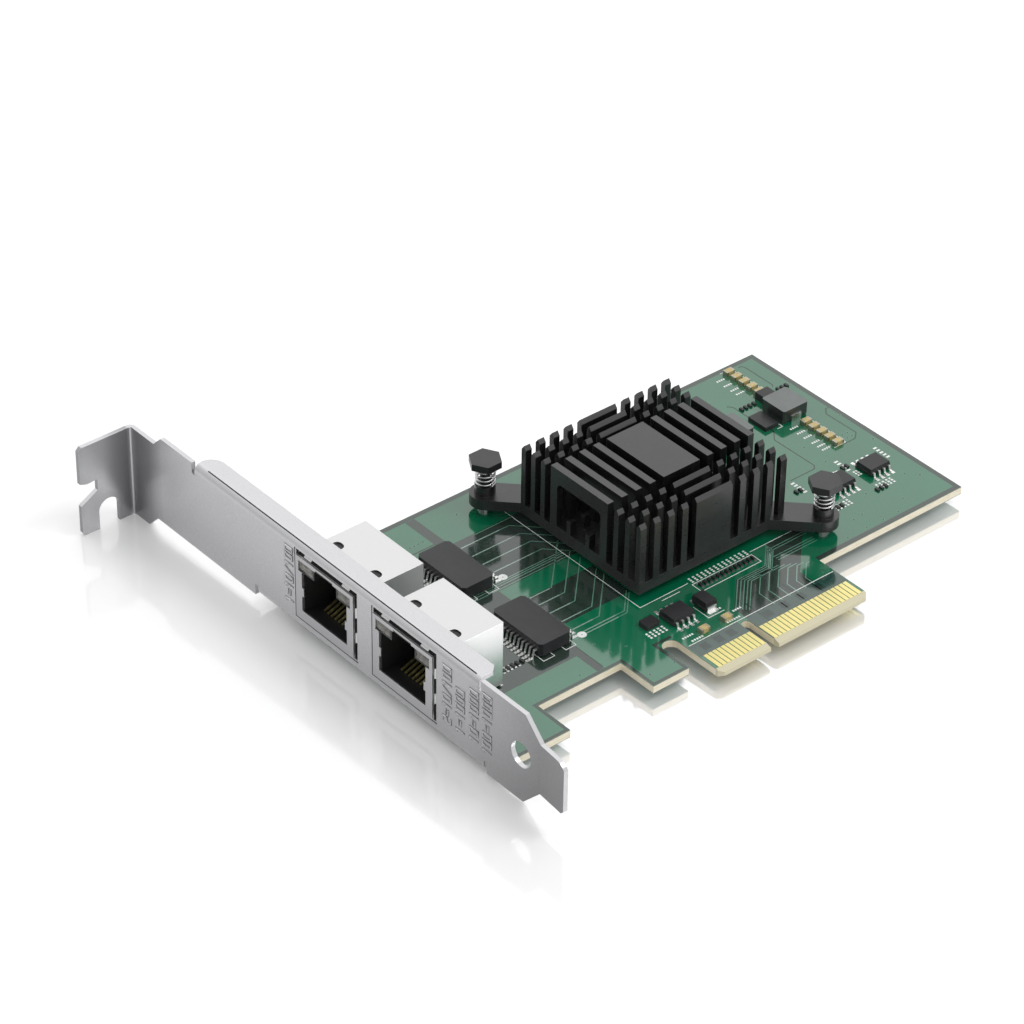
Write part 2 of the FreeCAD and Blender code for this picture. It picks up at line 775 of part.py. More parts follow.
def wire_shape(x, index):
    """One spring contact with its solder tail, bent from flat wire."""
    front = jack_front_y
    half_t = wire_t / 2
    y0 = front + wire_front_y
    y1 = front + wire_back_y
    y2 = tail_y(index)
    z0 = wire_front_z
    z1 = wire_back_z
    low = board_back_z - tail_reach
    section = [
        (y0, z0 - half_t),
        (y1, z1 - half_t),
        (y2 - half_t, z1 - half_t),
        (y2 - half_t, low),
        (y2 + half_t, low),
        (y2 + half_t, z1 + half_t),
        (y1, z1 + half_t),
        (y0, z0 + half_t),
        (y0 - 0.7, z0 - 0.05),
        (y0 - 0.7, z0 - 0.25),
    ]
    return rail(section, x - wire_w / 2, x + wire_w / 2)


def jack_contacts(port_x):
    return Part.makeCompound([wire_shape(x, i) for i, x in enumerate(wire_xs(port_x))])


def jack_insert(port_x):
    """The moulded body inside the shield, with the plug space, lamp pockets and pegs."""
    side_gap = shield_t + shield_gap
    x0 = port_x - jack_w / 2 + side_gap
    x1 = port_x + jack_w / 2 - side_gap
    y0 = jack_front_y + shield_t + shield_gap
    y1 = jack_back_y - shield_t - shield_gap
    z0 = jack_low_z + shield_t + shield_gap
    body = block(x0, x1, y0, y1, z0, jack_top_z - side_gap)
    feet = []
    for side in (-1, 1):
        x = port_x + side * peg_x
        y = jack_front_y + peg_y
        feet.append(post(x, y, 0.0, z0, peg_r + foot_margin))
        feet.append(post(x, y, board_back_z - peg_reach, 0.0, peg_r))
    body = joined([body] + feet)
    half = plug_w / 2
    plug_end = jack_front_y + plug_len
    plug_space = block(port_x - half, port_x + half, y0 - 1, plug_end, plug_low_z, plug_top_z)
    half = latch_w / 2
    latch_end = jack_front_y + latch_len
    latch_space = block(port_x - half, port_x + half, y0 - 1, latch_end, plug_top_z, latch_top_z)
    space = joined([plug_space, latch_space])
    pockets = [lamp_box(port_x, side, lamp_gap, y0 - 1, jack_front_y + lamp_len) for side in (-1, 1)]
    wires = [wire_shape(x, i) for i, x in enumerate(wire_xs(port_x))]
    return body.cut([space] + pockets + wires)


def jack_lamps(port_x):
    """Two clear light guides with a round lens on the front of each."""
    guides = []
    y0 = jack_front_y + lamp_setback
    for side in (-1, 1):
        stick = lamp_box(port_x, side, 0.0, y0 + lamp_lens_len, jack_front_y + lamp_len)
        box = stick.BoundBox
        centre = V((box.XMin + box.XMax) / 2, y0 + lamp_lens_len, (box.ZMin + box.ZMax) / 2)
        guides.append(joined([stick, lamp_lens(centre)]))
    return Part.makeCompound(guides)


def lamp_lens(centre):
    """The lens on a light guide's front, narrower at its tip."""
    rings = []
    for r, depth in ((lamp_lens_r, 0.0), (lamp_lens_r * 0.7, lamp_lens_len)):
        ring = [V(x, centre.y - depth, z) for x, z in polygon(centre.x, centre.z, r, hidden_round_sides)]
        rings.append(Part.makePolygon(ring + ring[:1]))
    return Part.makeLoft(rings, True, True)


# Chips and their leads

def gull_wing(reach, height, width):
    """One lead from the body's side at u = 0 out to u = reach, in the plane of u and z."""
    knee = reach * 0.38
    ankle = reach * 0.58
    t = lead_t
    section = [(0.0, height), (knee, height), (ankle, t), (reach, t), (reach, 0.0), (ankle - t * 0.6, 0.0),
               (knee - t * 0.6, height - t), (0.0, height - t)]
    return face(section, lambda u, v: V(u, -width / 2, v)).extrude(V(0, width, 0))


def lead_row(count, pitch, reach, height, width, side_offset):
    """Leads on both long sides of a body that lies along Y at the origin."""
    leads = []
    for i in range(count):
        y = pitch * (i - (count - 1) / 2)
        lead = gull_wing(reach, height, width)
        right = lead.copy()
        right.translate(V(side_offset, y, 0))
        left = lead.copy()
        left.rotate(V(0, 0, 0), V(0, 0, 1), 180)
        left.translate(V(-side_offset, y, 0))
        leads += [right, left]
    return leads


def tapered_body(x, y, half_x, half_y, z0, z1, taper):
    """A moulded body whose sides lean in above and below its parting line."""
    mid = (z0 + z1) / 2
    rings = []
    for z, inset in ((z0, taper), (mid, 0.0), (z1, taper)):
        dx = half_x - inset
        dy = half_y - inset
        ring = [V(x - dx, y - dy, z), V(x + dx, y - dy, z), V(x + dx, y + dy, z), V(x - dx, y + dy, z)]
        rings.append(Part.makePolygon(ring + ring[:1]))
    return Part.makeLoft(rings, True, True)


def placed(shape, x, y, turn=0.0):
    shape.rotate(V(0, 0, 0), V(0, 0, 1), turn)
    shape.translate(V(x, y, 0))
    return shape


def soic_bodies():
    return Part.makeCompound([
        tapered_body(x, y, soic_w / 2, soic_len / 2, soic_stand, soic_stand + soic_h, soic_taper)
        for x, y in soic_xy])


def soic_leads():
    leads = []
    height = soic_stand + soic_h / 2 + lead_t / 2
    for x, y in soic_xy:
        for lead in lead_row(soic_pins, soic_pitch, soic_reach, height, soic_lead_w, soic_w / 2):
            leads.append(placed(lead, x, y))
    return Part.makeCompound(leads)


def magnetics_body(x):
    half_x = magnetics_len / 2
    half_y = magnetics_w / 2
    outline = chamfered_rectangle(x - half_x, x + half_x, magnetics_y - half_y, magnetics_y + half_y,
                                  magnetics_chamfer)
    return plate(outline, magnetics_stand, magnetics_stand + magnetics_h)


def magnetics_leads(x):
    height = magnetics_stand + magnetics_h / 2 + lead_t / 2
    rows = lead_row(magnetics_pins, magnetics_pitch, magnetics_lead_reach, height, magnetics_lead_w,
                    magnetics_w / 2)
    return Part.makeCompound([placed(lead, x, magnetics_y, crosswise_angle) for lead in rows])


def controller_chip():
    half = controller_side / 2
    cap = controller_cap_side / 2
    x = sink_mid_x
    y = sink_mid_y
    z = controller_substrate_t
    return joined([
        block(x - half, x + half, y - half, y + half, 0.0, z),
        plate(chamfered_rectangle(x - cap, x + cap, y - cap, y + cap, 1.0), z, z + controller_cap_t),
    ])


def thermal_pad():
    half = pad_side / 2
    z = controller_substrate_t + controller_cap_t
    return block(sink_mid_x - half, sink_mid_x + half, sink_mid_y - half, sink_mid_y + half, z, z + pad_t)


# Heat sink

def sink_fin_spans():
    """Y spans that stay between the cross slots: fins, the long middle pad, fins."""
    spans = []
    y = sink_y0
    for i in range(2 * fins_each_side + 1):
        length = sink_pad_len if i == fins_each_side else fin_w
        spans.append((y, y + length))
        y += length + cross_slot_w
    return spans


def sink_side_plate(x_out, outward):
    """Section of one upright side plate, with a ridge along its top."""
    x_in = x_out - outward * side_plate_w
    x_ridge = x_out - outward * side_plate_w * 0.5
    z0 = sink_base_z1 - 0.2
    z_side = sink_top_z - side_plate_bevel
    return [(x_in, z0), (x_in, z_side), (x_ridge, sink_top_z), (x_out, z_side), (x_out, z0)]


def sink_core():
    """The middle block with a ribbed tunnel along it."""
    half = core_w / 2
    z0 = sink_base_z1
    x0 = core_mid_x - half
    x1 = core_mid_x + half
    core = block(x0, x1, sink_y0, sink_y1, z0 - 0.2, sink_top_z)
    roof_z = sink_top_z - tunnel_roof
    tunnel = [(x0 + tunnel_side, z0 + tunnel_low), (x1 - tunnel_side, z0 + tunnel_low),
              (x1 - tunnel_side, roof_z, tunnel_corner_r), (x0 + tunnel_side, roof_z, tunnel_corner_r)]
    core = core.cut(panel(tunnel, sink_y0 - 1, sink_y1 + 1))
    ribs = []
    for i in range(tunnel_ribs):
        x = x0 + core_w * (i + 1) / (tunnel_ribs + 1)
        ribs.append(block(x - tunnel_rib_w / 2, x + tunnel_rib_w / 2, sink_y0, sink_y1,
                          z0 + tunnel_low - 0.1, z0 + tunnel_low + tunnel_rib_h))
    return joined([core] + ribs)


def sink_ear(xy):
    """A flat arm from the base out to one screw, with a round end and a boss for the spring."""
    x, y = xy
    toward = V(sink_mid_x - x, sink_mid_y - y, 0)
    toward = V(math.copysign(1, toward.x), math.copysign(1, toward.y), 0).normalize()
    across = V(-toward.y, toward.x, 0) * (ear_w / 2)
    root = V(x, y, 0) + toward * (ear_w + ear_root_inset)
    tip = V(x, y, 0)
    corners = [tip + across, root + across, root - across, tip - across]
    arm = plate([(p.x, p.y) for p in corners], sink_base_z0, sink_base_z1)
    end = rod(x, y, sink_base_z0, sink_base_z1, ear_w / 2)
    boss = rod(x, y, sink_base_z0, sink_base_z1 + boss_h, boss_r)
    return joined([arm, end, boss])


def heat_sink():
    base = block(sink_x0, sink_x1, sink_y0, sink_y1, sink_base_z0, sink_base_z1)
    half = core_w / 2
    bays = {-1: sink_x0, 1: sink_x1}
    pieces = [sink_core()]
    for outward, x_out in bays.items():
        inner = core_mid_x + outward * half
        pitch = (abs(x_out - inner)) / side_plates
        for i in range(side_plates):
            section = sink_side_plate(x_out - outward * pitch * i, outward)
            pieces.append(panel(section, sink_y0, sink_y1))
    spans = sink_fin_spans()
    slots = [block(sink_x0 - 1, sink_x1 + 1, a[1], b[0], sink_base_z1, sink_top_z + 1)
             for a, b in zip(spans, spans[1:])]
    whole = joined([base] + pieces + [sink_ear(xy) for xy in sink_screw_xy])
    whole = whole.cut(slots)
    r = sink_shank_r + sink_hole_gap
    top = sink_base_z1 + boss_h + 1
    holes = [bore(x, y, sink_base_z0 - 1, top, r) for x, y in sink_screw_xy]
    return whole.cut(holes).removeSplitter()


# Sprung screws

def hexagon(x, y, across_flats):
    return polygon(x, y, across_flats / 2 / math.cos(math.radians(30)), 6)


def heat_sink_screw(xy):
    x, y = xy
    z1 = sink_head_top_z
    z0 = z1 - sink_head_h
    head = plate(hexagon(x, y, sink_head_af), z0, z1)
    low = board_back_z - nut_h - 0.4
    shank = rod(x, y, low, z0, sink_shank_r)
    return joined([head, shank])


def spring_coil(xy):
    """A coil spring between the screw head and the bush, swept along short straight runs."""
    x, y = xy
    z0 = sink_base_z1 + boss_h + spring_wire_r
    z1 = sink_head_top_z - sink_head_h - spring_wire_r
    count = spring_turns * spring_runs_per_turn
    points = []
    for i in range(count + 1):
        a = 2 * math.pi * i / spring_runs_per_turn
        points.append(V(x + spring_r * math.cos(a), y + spring_r * math.sin(a), z0 + (z1 - z0) * i / count))
    along = (points[1] - points[0]).normalize()
    outward = V(1, 0, 0)
    outward = (outward - along * outward.dot(along)).normalize()
    upward = along.cross(outward)
    ring = []
    for i in range(spring_wire_sides + 1):
        a = 2 * math.pi * i / spring_wire_sides
        ring.append(points[0] + (outward * math.cos(a) + upward * math.sin(a)) * spring_wire_r)
    return Part.makePolygon(points).makePipeShell([Part.makePolygon(ring)], True, False, 1)


def ear_spacer(xy):
    x, y = xy
    outer = post(x, y, 0.0, sink_base_z0, spacer_r)
    return outer.cut(bore(x, y, -1, sink_base_z0 + 1, sink_shank_r + thread_gap))


def back_nut(xy):
    x, y = xy
    outer = plate(hexagon(x, y, nut_r * 2), board_back_z - nut_h, board_back_z)
    return outer.cut(bore(x, y, board_back_z - nut_h - 1, board_back_z + 1, sink_shank_r + thread_gap))


# Power parts and other small parts

def power_inductor(x, y):
    half = inductor_side / 2
    outline = chamfered_rectangle(x - half, x + half, y - half, y + half, 0.35)
    top = plate(outline, inductor_foot_h, inductor_h)
    foot = half - 0.35
    base = block(x - foot, x + foot, y - half + 0.1, y + half - 0.1, 0.0, inductor_foot_h)
    return joined([top, base]).cut(inductor_clips(x, y))


def inductor_clips(x, y):
    """The two metal strips folded from under one body up its sides."""
    half = inductor_side / 2
    w = inductor_terminal_w / 2
    t = inductor_terminal_t
    clips = []
    for side in (-1, 1):
        outer = x + side * (half + t)
        inner = x + side * (half - 1.1)
        wall = x + side * half
        flat = block(min(outer, inner), max(outer, inner), y - w, y + w, 0.0, t)
        upright = block(min(outer, wall), max(outer, wall), y - w, y + w, 0.0, inductor_h * 0.5)
        clips.append(joined([flat, upright]))
    return clips


def chip_capacitor(x, y):
    """Body and metal ends of one chip capacitor that lies along Y."""
    length, width, height = cap_size
    inner = length / 2 - cap_terminal
    x0 = x - width / 2
    x1 = x + width / 2
    body = block(x0, x1, y - inner, y + inner, 0.0, height)
    ends = [block(x0, x1, y - length / 2, y - inner, 0.0, height),
            block(x0, x1, y + inner, y + length / 2, 0.0, height)]
    return body, ends


def capacitor_places():
    spots = []
    for first in cap_row_x:
        spots += [(first + cap_pitch * i, cap_row_y) for i in range(caps_per_row)]
    spots += lone_caps
    return spots


def capacitors():
    bodies = []
    ends = []
    for x, y in capacitor_places():
        body, caps = chip_capacitor(x, y)
        bodies.append(body)
        ends += caps
    return Part.makeCompound(bodies), Part.makeCompound(ends)


def resistors():
    length, width, height = resistor_size
    chips = []
    rows = list(zip(resistor_row_xy, resistor_counts))
    rows.append(((socket_row_x, jack_back_y + socket_row_gap), socket_row_count))
    for (x, first_y), count in rows:
        for i in range(count):
            y = first_y + resistor_pitch * i
            chips.append(block(x - length / 2, x + length / 2, y - width / 2, y + width / 2, 0.0, height))
    return Part.makeCompound(chips)


def low_box(place, z0):
    x, y, along_x, along_y, h = place
    return block(x - along_x / 2, x + along_x / 2, y - along_y / 2, y + along_y / 2, z0, h)


def rectifier():
    length, width, height = rectifier_size
    x, y = rectifier_xy
    t = rectifier_terminal_t
    half_w = width * 0.38
    body = tapered_body(x, y, length / 2, width / 2, t, height, rectifier_taper)
    ends = []
    for side in (-1, 1):
        inner = x + side * (length / 2 - 0.6)
        outer = x + side * (length / 2 + rectifier_terminal)
        wall = x + side * length / 2
        skin = x + side * (length / 2 + t)
        flat = block(min(inner, outer), max(inner, outer), y - half_w, y + half_w, 0.0, t)
        upright = block(min(wall, skin), max(wall, skin), y - half_w, y + half_w, 0.0, height * 0.55)
        ends.append(joined([flat, upright]))
    return body, Part.makeCompound(ends)


def build():
    parts = {
        "circuit_board": circuit_board(),
        "edge_contacts_top": edge_contacts(0.0, contact_t),
        "edge_contacts_bottom": edge_contacts(board_back_z - contact_t, board_back_z),
        "mounting_bracket": mounting_bracket(),
        "bracket_screws": bracket_screws(),
        "controller_chip": controller_chip(),
        "thermal_pad": thermal_pad(),
        "heat_sink": heat_sink(),
        "power_inductors": Part.makeCompound([power_inductor(x, y) for x, y in inductor_xy]),
        "inductor_terminals": Part.makeCompound(
            [clip for x, y in inductor_xy for clip in inductor_clips(x, y)]),
        "small_chips": soic_bodies(),
        "small_chip_leads": soic_leads(),
        "chip_resistors": resistors(),
    }
    for name, xy in zip(("left", "right"), sink_screw_xy):
        parts["heat_sink_screw_" + name] = heat_sink_screw(xy)
        parts["heat_sink_spring_" + name] = spring_coil(xy)
    parts["ear_spacers"] = Part.makeCompound([ear_spacer(xy) for xy in sink_screw_xy])
    parts["back_nuts"] = Part.makeCompound([back_nut(xy) for xy in sink_screw_xy])
    for letter, x in zip("ab", port_xs):
        parts["jack_shield_" + letter] = jack_shield(x)
        parts["jack_insert_" + letter] = jack_insert(x)
        parts["jack_contacts_" + letter] = jack_contacts(x)
        parts["jack_lamps_" + letter] = jack_lamps(x)
    for letter, x in zip("ab", magnetics_xs):
        parts["line_transformer_" + letter] = magnetics_body(x)
        parts["transformer_leads_" + letter] = magnetics_leads(x)
    parts["capacitor_bodies"], parts["capacitor_ends"] = capacitors()
    parts["filter_choke"] = low_box(filter_choke, 0.0)
    parts["converter_chip"] = low_box(converter_chip, 0.0)
    parts["regulator"] = low_box(regulator_xy + regulator_size, 0.0)
    parts["rectifier"], parts["rectifier_ends"] = rectifier()
    return parts


def main():
    os.makedirs("parts", exist_ok=True)
    blade_back_x = blade_tip_x + sheet_t * math.sin(math.radians(blade_angle))
    shift = V(-(tab_outer_x + blade_back_x) / 2, -(tab_tip_y + board_back_y) / 2, -tab_low_z)
    for name, shape in build().items():
        shape.translate(shift)
        shape.exportStep("parts/" + name + ".step")


main()
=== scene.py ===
import json
import math

import bmesh
import bpy
from mathutils import Matrix, Vector

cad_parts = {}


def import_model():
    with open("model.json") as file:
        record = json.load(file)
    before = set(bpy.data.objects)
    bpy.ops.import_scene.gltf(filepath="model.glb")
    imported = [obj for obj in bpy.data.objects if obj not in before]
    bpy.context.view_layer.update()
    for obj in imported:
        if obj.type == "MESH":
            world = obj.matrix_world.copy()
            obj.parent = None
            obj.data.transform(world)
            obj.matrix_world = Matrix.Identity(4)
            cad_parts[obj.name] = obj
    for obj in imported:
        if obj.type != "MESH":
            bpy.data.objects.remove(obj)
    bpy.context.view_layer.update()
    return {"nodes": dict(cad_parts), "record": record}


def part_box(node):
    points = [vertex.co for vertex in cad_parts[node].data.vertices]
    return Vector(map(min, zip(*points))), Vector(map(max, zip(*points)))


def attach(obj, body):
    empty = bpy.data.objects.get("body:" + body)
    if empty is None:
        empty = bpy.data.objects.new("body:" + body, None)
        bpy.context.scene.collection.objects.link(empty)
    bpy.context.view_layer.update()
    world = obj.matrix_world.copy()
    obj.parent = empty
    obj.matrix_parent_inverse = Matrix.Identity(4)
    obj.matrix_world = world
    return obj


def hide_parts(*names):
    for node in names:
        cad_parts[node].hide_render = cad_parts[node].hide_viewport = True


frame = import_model()
nodes = frame["nodes"]
scene = bpy.context.scene

# Every place below is in millimetres in the card's own axes, as the CAD source has them:
# X is 0 at the contact tips and grows toward the bracket's blade, Y is 0 at the key notch,
# Z is 0 at the board's component side. The row frame is in metres.
X_AXIS, Y_AXIS, Z_AXIS = range(3)
MM = 0.001
PER_M = 1000.0
BOARD_BACK_Y = 58.3
board_low, board_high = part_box("circuit_board")
SHIFT = Vector((
    board_high.x * PER_M,
    board_high.y * PER_M - BOARD_BACK_Y,
    board_high.z * PER_M,
))


def at(x, y, z=0.0):
    """A place in the card's axes, in millimetres, as a point of the row frame in metres."""
    return (Vector((x, y, z)) + SHIFT) * MM


def card_box(node):
    """The low and high corners of a node's box, in the card's axes."""
    low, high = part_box(node)
    return low * PER_M - SHIFT, high * PER_M - SHIFT


def middle(node):
    """The middle of a node's box, in the card's axes."""
    low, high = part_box(node)
    return (low + high) / 2 * PER_M - SHIFT


# Camera at the photograph's angle

AZIMUTH = math.radians(49.538)
ELEVATION = math.radians(35.809)
ROLL = math.radians(0.853)
EYE = at(377.353, -381.899, 413.107)
FOCAL_PX = 3924.635
FRAME_PX = 1024.0
SENSOR_MM = 36.0
NEAREST = 0.01
FARTHEST = 20.0


def place_camera():
    back = Vector((
        math.sin(AZIMUTH) * math.cos(ELEVATION),
        -math.cos(AZIMUTH) * math.cos(ELEVATION),
        math.sin(ELEVATION),
    ))
    level = Vector((math.cos(AZIMUTH), math.sin(AZIMUTH), 0.0))
    upward = back.cross(level)
    right = level * math.cos(ROLL) + upward * math.sin(ROLL)
    up = upward * math.cos(ROLL) - level * math.sin(ROLL)
    data = bpy.data.cameras.new("view")
    data.sensor_width = SENSOR_MM
    data.lens = FOCAL_PX * SENSOR_MM / FRAME_PX
    data.clip_start = NEAREST
    data.clip_end = FARTHEST
    camera = bpy.data.objects.new("view", data)
    camera.matrix_world = Matrix((
        (right.x, up.x, back.x, EYE.x),
        (right.y, up.y, back.y, EYE.y),
        (right.z, up.z, back.z, EYE.z),
        (0.0, 0.0, 0.0, 1.0),
    ))
    scene.collection.objects.link(camera)
    scene.camera = camera


place_camera()
scene.view_settings.view_transform = "Standard"


# Helpers for shader trees

class Tree:
    """Adds and joins the nodes of one shader tree."""

    def __init__(self, tree):
        self.tree = tree

    def add(self, kind, **settings):
        node = self.tree.nodes.new(kind)
        for key, value in settings.items():
            setattr(node, key, value)
        return node

    def feed(self, value, socket):
        """Joins an output to the socket, or sets the socket to a colour or a number."""
        if hasattr(value, "links"):
            self.tree.links.new(value, socket)
        elif hasattr(value, "__len__"):
            socket.default_value = tuple(value) + (1.0,)
        else:
            socket.default_value = value

    def ramp(self, factor, stops):
        """Stops are (place, colour) or (place, grey level)."""
        node = self.add("ShaderNodeValToRGB")
        elements = node.color_ramp.elements
        while len(elements) < len(stops):
            elements.new(0.5)
        for element, (spot, value) in zip(elements, stops):
            color = tuple(value) if hasattr(value, "__len__") else (value,) * 3
            element.position = spot
            element.color = color + (1.0,)
        self.feed(factor, node.inputs["Fac"])
        return node.outputs["Color"]

    def mix(self, factor, first, second, blend="MIX"):
        node = self.add("ShaderNodeMix", data_type="RGBA", blend_type=blend)
        colors = [socket for socket in node.inputs if socket.type == "RGBA"]
        self.feed(factor, node.inputs["Factor"])
        self.feed(first, colors[0])
        self.feed(second, colors[1])
        return [socket for socket in node.outputs if socket.type == "RGBA"][0]

    def calc(self, operation, first, second=0.0):
        node = self.add("ShaderNodeMath", operation=operation)
        self.feed(first, node.inputs[0])
        self.feed(second, node.inputs[1])
        return node.outputs[0]

    def toward(self, vector, direction):
        """The cosine of the angle between a unit vector and a direction."""
        node = self.add("ShaderNodeVectorMath", operation="DOT_PRODUCT")
        self.feed(vector, node.inputs[0])
        node.inputs[1].default_value = Vector(direction).normalized()
        return node.outputs["Value"]

    def mix_shaders(self, factor, first, second):
        node = self.add("ShaderNodeMixShader")
        for value, socket in zip((factor, first, second), node.inputs):
            self.feed(value, socket)
        return node.outputs[0]


class Look(Tree):
    """The nodes of one material, round its Principled shader."""

    def __init__(self, name):
        self.material = bpy.data.materials.new(name)
        self.material.use_nodes = True
        super().__init__(self.material.node_tree)
        self.shader = self.tree.nodes["Principled BSDF"]
        self.place = self.add("ShaderNodeTexCoord").outputs["Object"]

    def noise(self, per_mm, detail, rough=0.55, stretch=None):
        """Noise with about that many features per millimetre."""
        node = self.add("ShaderNodeTexNoise")
        node.inputs["Scale"].default_value = per_mm * PER_M
        node.inputs["Detail"].default_value = detail
        node.inputs["Roughness"].default_value = rough
        source = self.place
        if stretch:
            mapping = self.add("ShaderNodeMapping")
            mapping.inputs["Scale"].default_value = stretch
            self.feed(self.place, mapping.inputs["Vector"])
            source = mapping.outputs["Vector"]
        self.feed(source, node.inputs["Vector"])
        return node.outputs["Fac"]

    def bump(self, height, strength, distance_mm, normal=None):
        node = self.add("ShaderNodeBump")
        node.inputs["Strength"].default_value = strength
        node.inputs["Distance"].default_value = distance_mm * MM
        self.feed(height, node.inputs["Height"])
        if normal is not None:
            self.feed(normal, node.inputs["Normal"])
        return node.outputs["Normal"]

    def rounded(self, radius_mm):
        """Softened edges, so that they catch the light as broken edges do."""
        node = self.add("ShaderNodeBevel")
        node.samples = 4
        node.inputs["Radius"].default_value = radius_mm * MM
        return node.outputs["Normal"]

    def part(self, vector, axis):
        split = self.add("ShaderNodeSeparateXYZ")
        self.feed(vector, split.inputs[0])
        return split.outputs[axis]

    def normal_part(self, axis):
        return self.part(self.add("ShaderNodeNewGeometry").outputs["Normal"], axis)

    def place_part(self, axis):
        return self.part(self.place, axis)

    def along(self, axis, start, per_metre):
        """0 at one place on an axis of the row frame, growing by that much per metre."""
        way = self.calc("SUBTRACT", self.place_part(axis), start)
        return self.calc("MULTIPLY", way, per_metre)

    def front(self):
        """1 on the faces on the side that the plugs come from, 0 on the others."""
        outward = self.calc("MULTIPLY", self.normal_part(Y_AXIS), -1.0)
        return self.ramp(outward, [(0.5, 0.0), (0.9, 1.0)])

    def set(self, **values):
        """Feeds the Principled shader's sockets, named with underscores for spaces."""
        for key, value in values.items():
            self.feed(value, self.shader.inputs[key.replace("_", " ")])
        return self.material


def scaled(color, factor):
    return tuple(min(1.0, c * factor) for c in color)


# Materials

# How far the mask's colour reaches down the board's cut edges, in metres
MASK_DEPTH = 0.00011
TIP_BEVEL_X = -1.4
TAB_START_Y = -59.4
JOG_START_X = -107.0


def moulded(name, color, rough, grain=4.0, bump=0.25, edge=0.08, ior=1.5, sides=1.0):
    """Moulded plastic or epoxy with a fine grain; sides scales the upright faces' colour, a
    painted shade.
    """
    n = Look(name)
    fine = n.noise(grain, 2.0, 0.7)
    tone = n.ramp(n.noise(0.25, 4.0), [(0.3, scaled(color, 0.82)), (0.7, scaled(color, 1.2))])
    tone = n.mix(n.ramp(fine, [(0.55, 0.0), (0.8, 0.35)]), tone, scaled(color, 1.6))
    # Painted shade: upright faces darkened by the factor sides
    if sides < 1.0:
        upright = n.ramp(n.normal_part(Z_AXIS), [(0.4, 1.0), (0.8, 0.0)])
        tone = n.mix(upright, tone, scaled(color, sides))
    return n.set(
        Base_Color=tone,
        Roughness=n.ramp(fine, [(0.3, rough - 0.07), (0.7, rough + 0.09)]),
        IOR=ior,
        Normal=n.bump(fine, bump, 0.02, n.rounded(edge)),
    )


def metal(name, color, rough, grain, bump, edge):
    """Plated metal with fine grain, faint smudges and softened edges."""
    n = Look(name)
    smudge = n.noise(0.06, 5.0)
    fine = n.noise(grain, 2.0, 0.6)
    tone = n.ramp(smudge, [(0.35, scaled(color, 0.9)), (0.65, scaled(color, 1.05))])
    tone = n.mix(n.ramp(fine, [(0.45, 0.0), (0.75, 0.2)]), tone, scaled(color, 0.8))
    smudged = n.ramp(smudge, [(0.3, rough - 0.05), (0.7, rough + 0.05)])
    grained = n.ramp(fine, [(0.3, 0.0), (0.8, 0.08)])
    return n.set(
        Base_Color=tone,
        Metallic=1.0,
        Roughness=n.calc("ADD", smudged, grained),
        Normal=n.bump(fine, bump, 0.01, n.rounded(edge)),
    )


def board_material():
    """Green mask over copper on the two faces, and pale glass laminate on the cut edges."""
    n = Look("board")
    cloud = n.noise(0.035, 3.0)
    fine = n.noise(2.2, 3.0)
    mask = n.ramp(cloud, [(0.35, (0.0016, 0.105, 0.046)), (0.65, (0.0030, 0.130, 0.061))])
    mask = n.mix(n.ramp(fine, [(0.5, 0.0), (0.8, 0.2)]), mask, (0.001, 0.075, 0.034))
    flat = n.ramp(n.calc("ABSOLUTE", n.normal_part(Z_AXIS)), [(0.55, 0.0), (0.9, 1.0)])
    layers = n.noise(0.5, 3.0, 0.6, (1.0, 1.0, 16.0))
    laminate = n.ramp(layers, [(0.35, (0.60, 0.54, 0.39)), (0.65, (0.76, 0.70, 0.54))])
    depth = n.calc("SUBTRACT", n.place_part(Z_AXIS), (board_low.z + board_high.z) / 2)
    core = (board_high.z - board_low.z) / 2 - MASK_DEPTH
    skin = n.calc("GREATER_THAN", n.calc("ABSOLUTE", depth), core)
    edge = n.mix(skin, laminate, (0.16, 0.15, 0.11))
    tip = n.calc("GREATER_THAN", n.place_part(X_AXIS), at(TIP_BEVEL_X, 0.0).x)
    tone = n.mix(tip, n.mix(flat, edge, mask), (0.50, 0.46, 0.30))
    glossy = n.calc("MULTIPLY", flat, -0.38)
    return n.set(
        Base_Color=tone,
        Roughness=n.calc("ADD", glossy, n.ramp(fine, [(0.3, 0.44), (0.7, 0.49)])),
        IOR=2.0,
        Normal=n.bump(n.noise(0.7, 1.0), 0.06, 0.01, n.rounded(0.06)),
    )


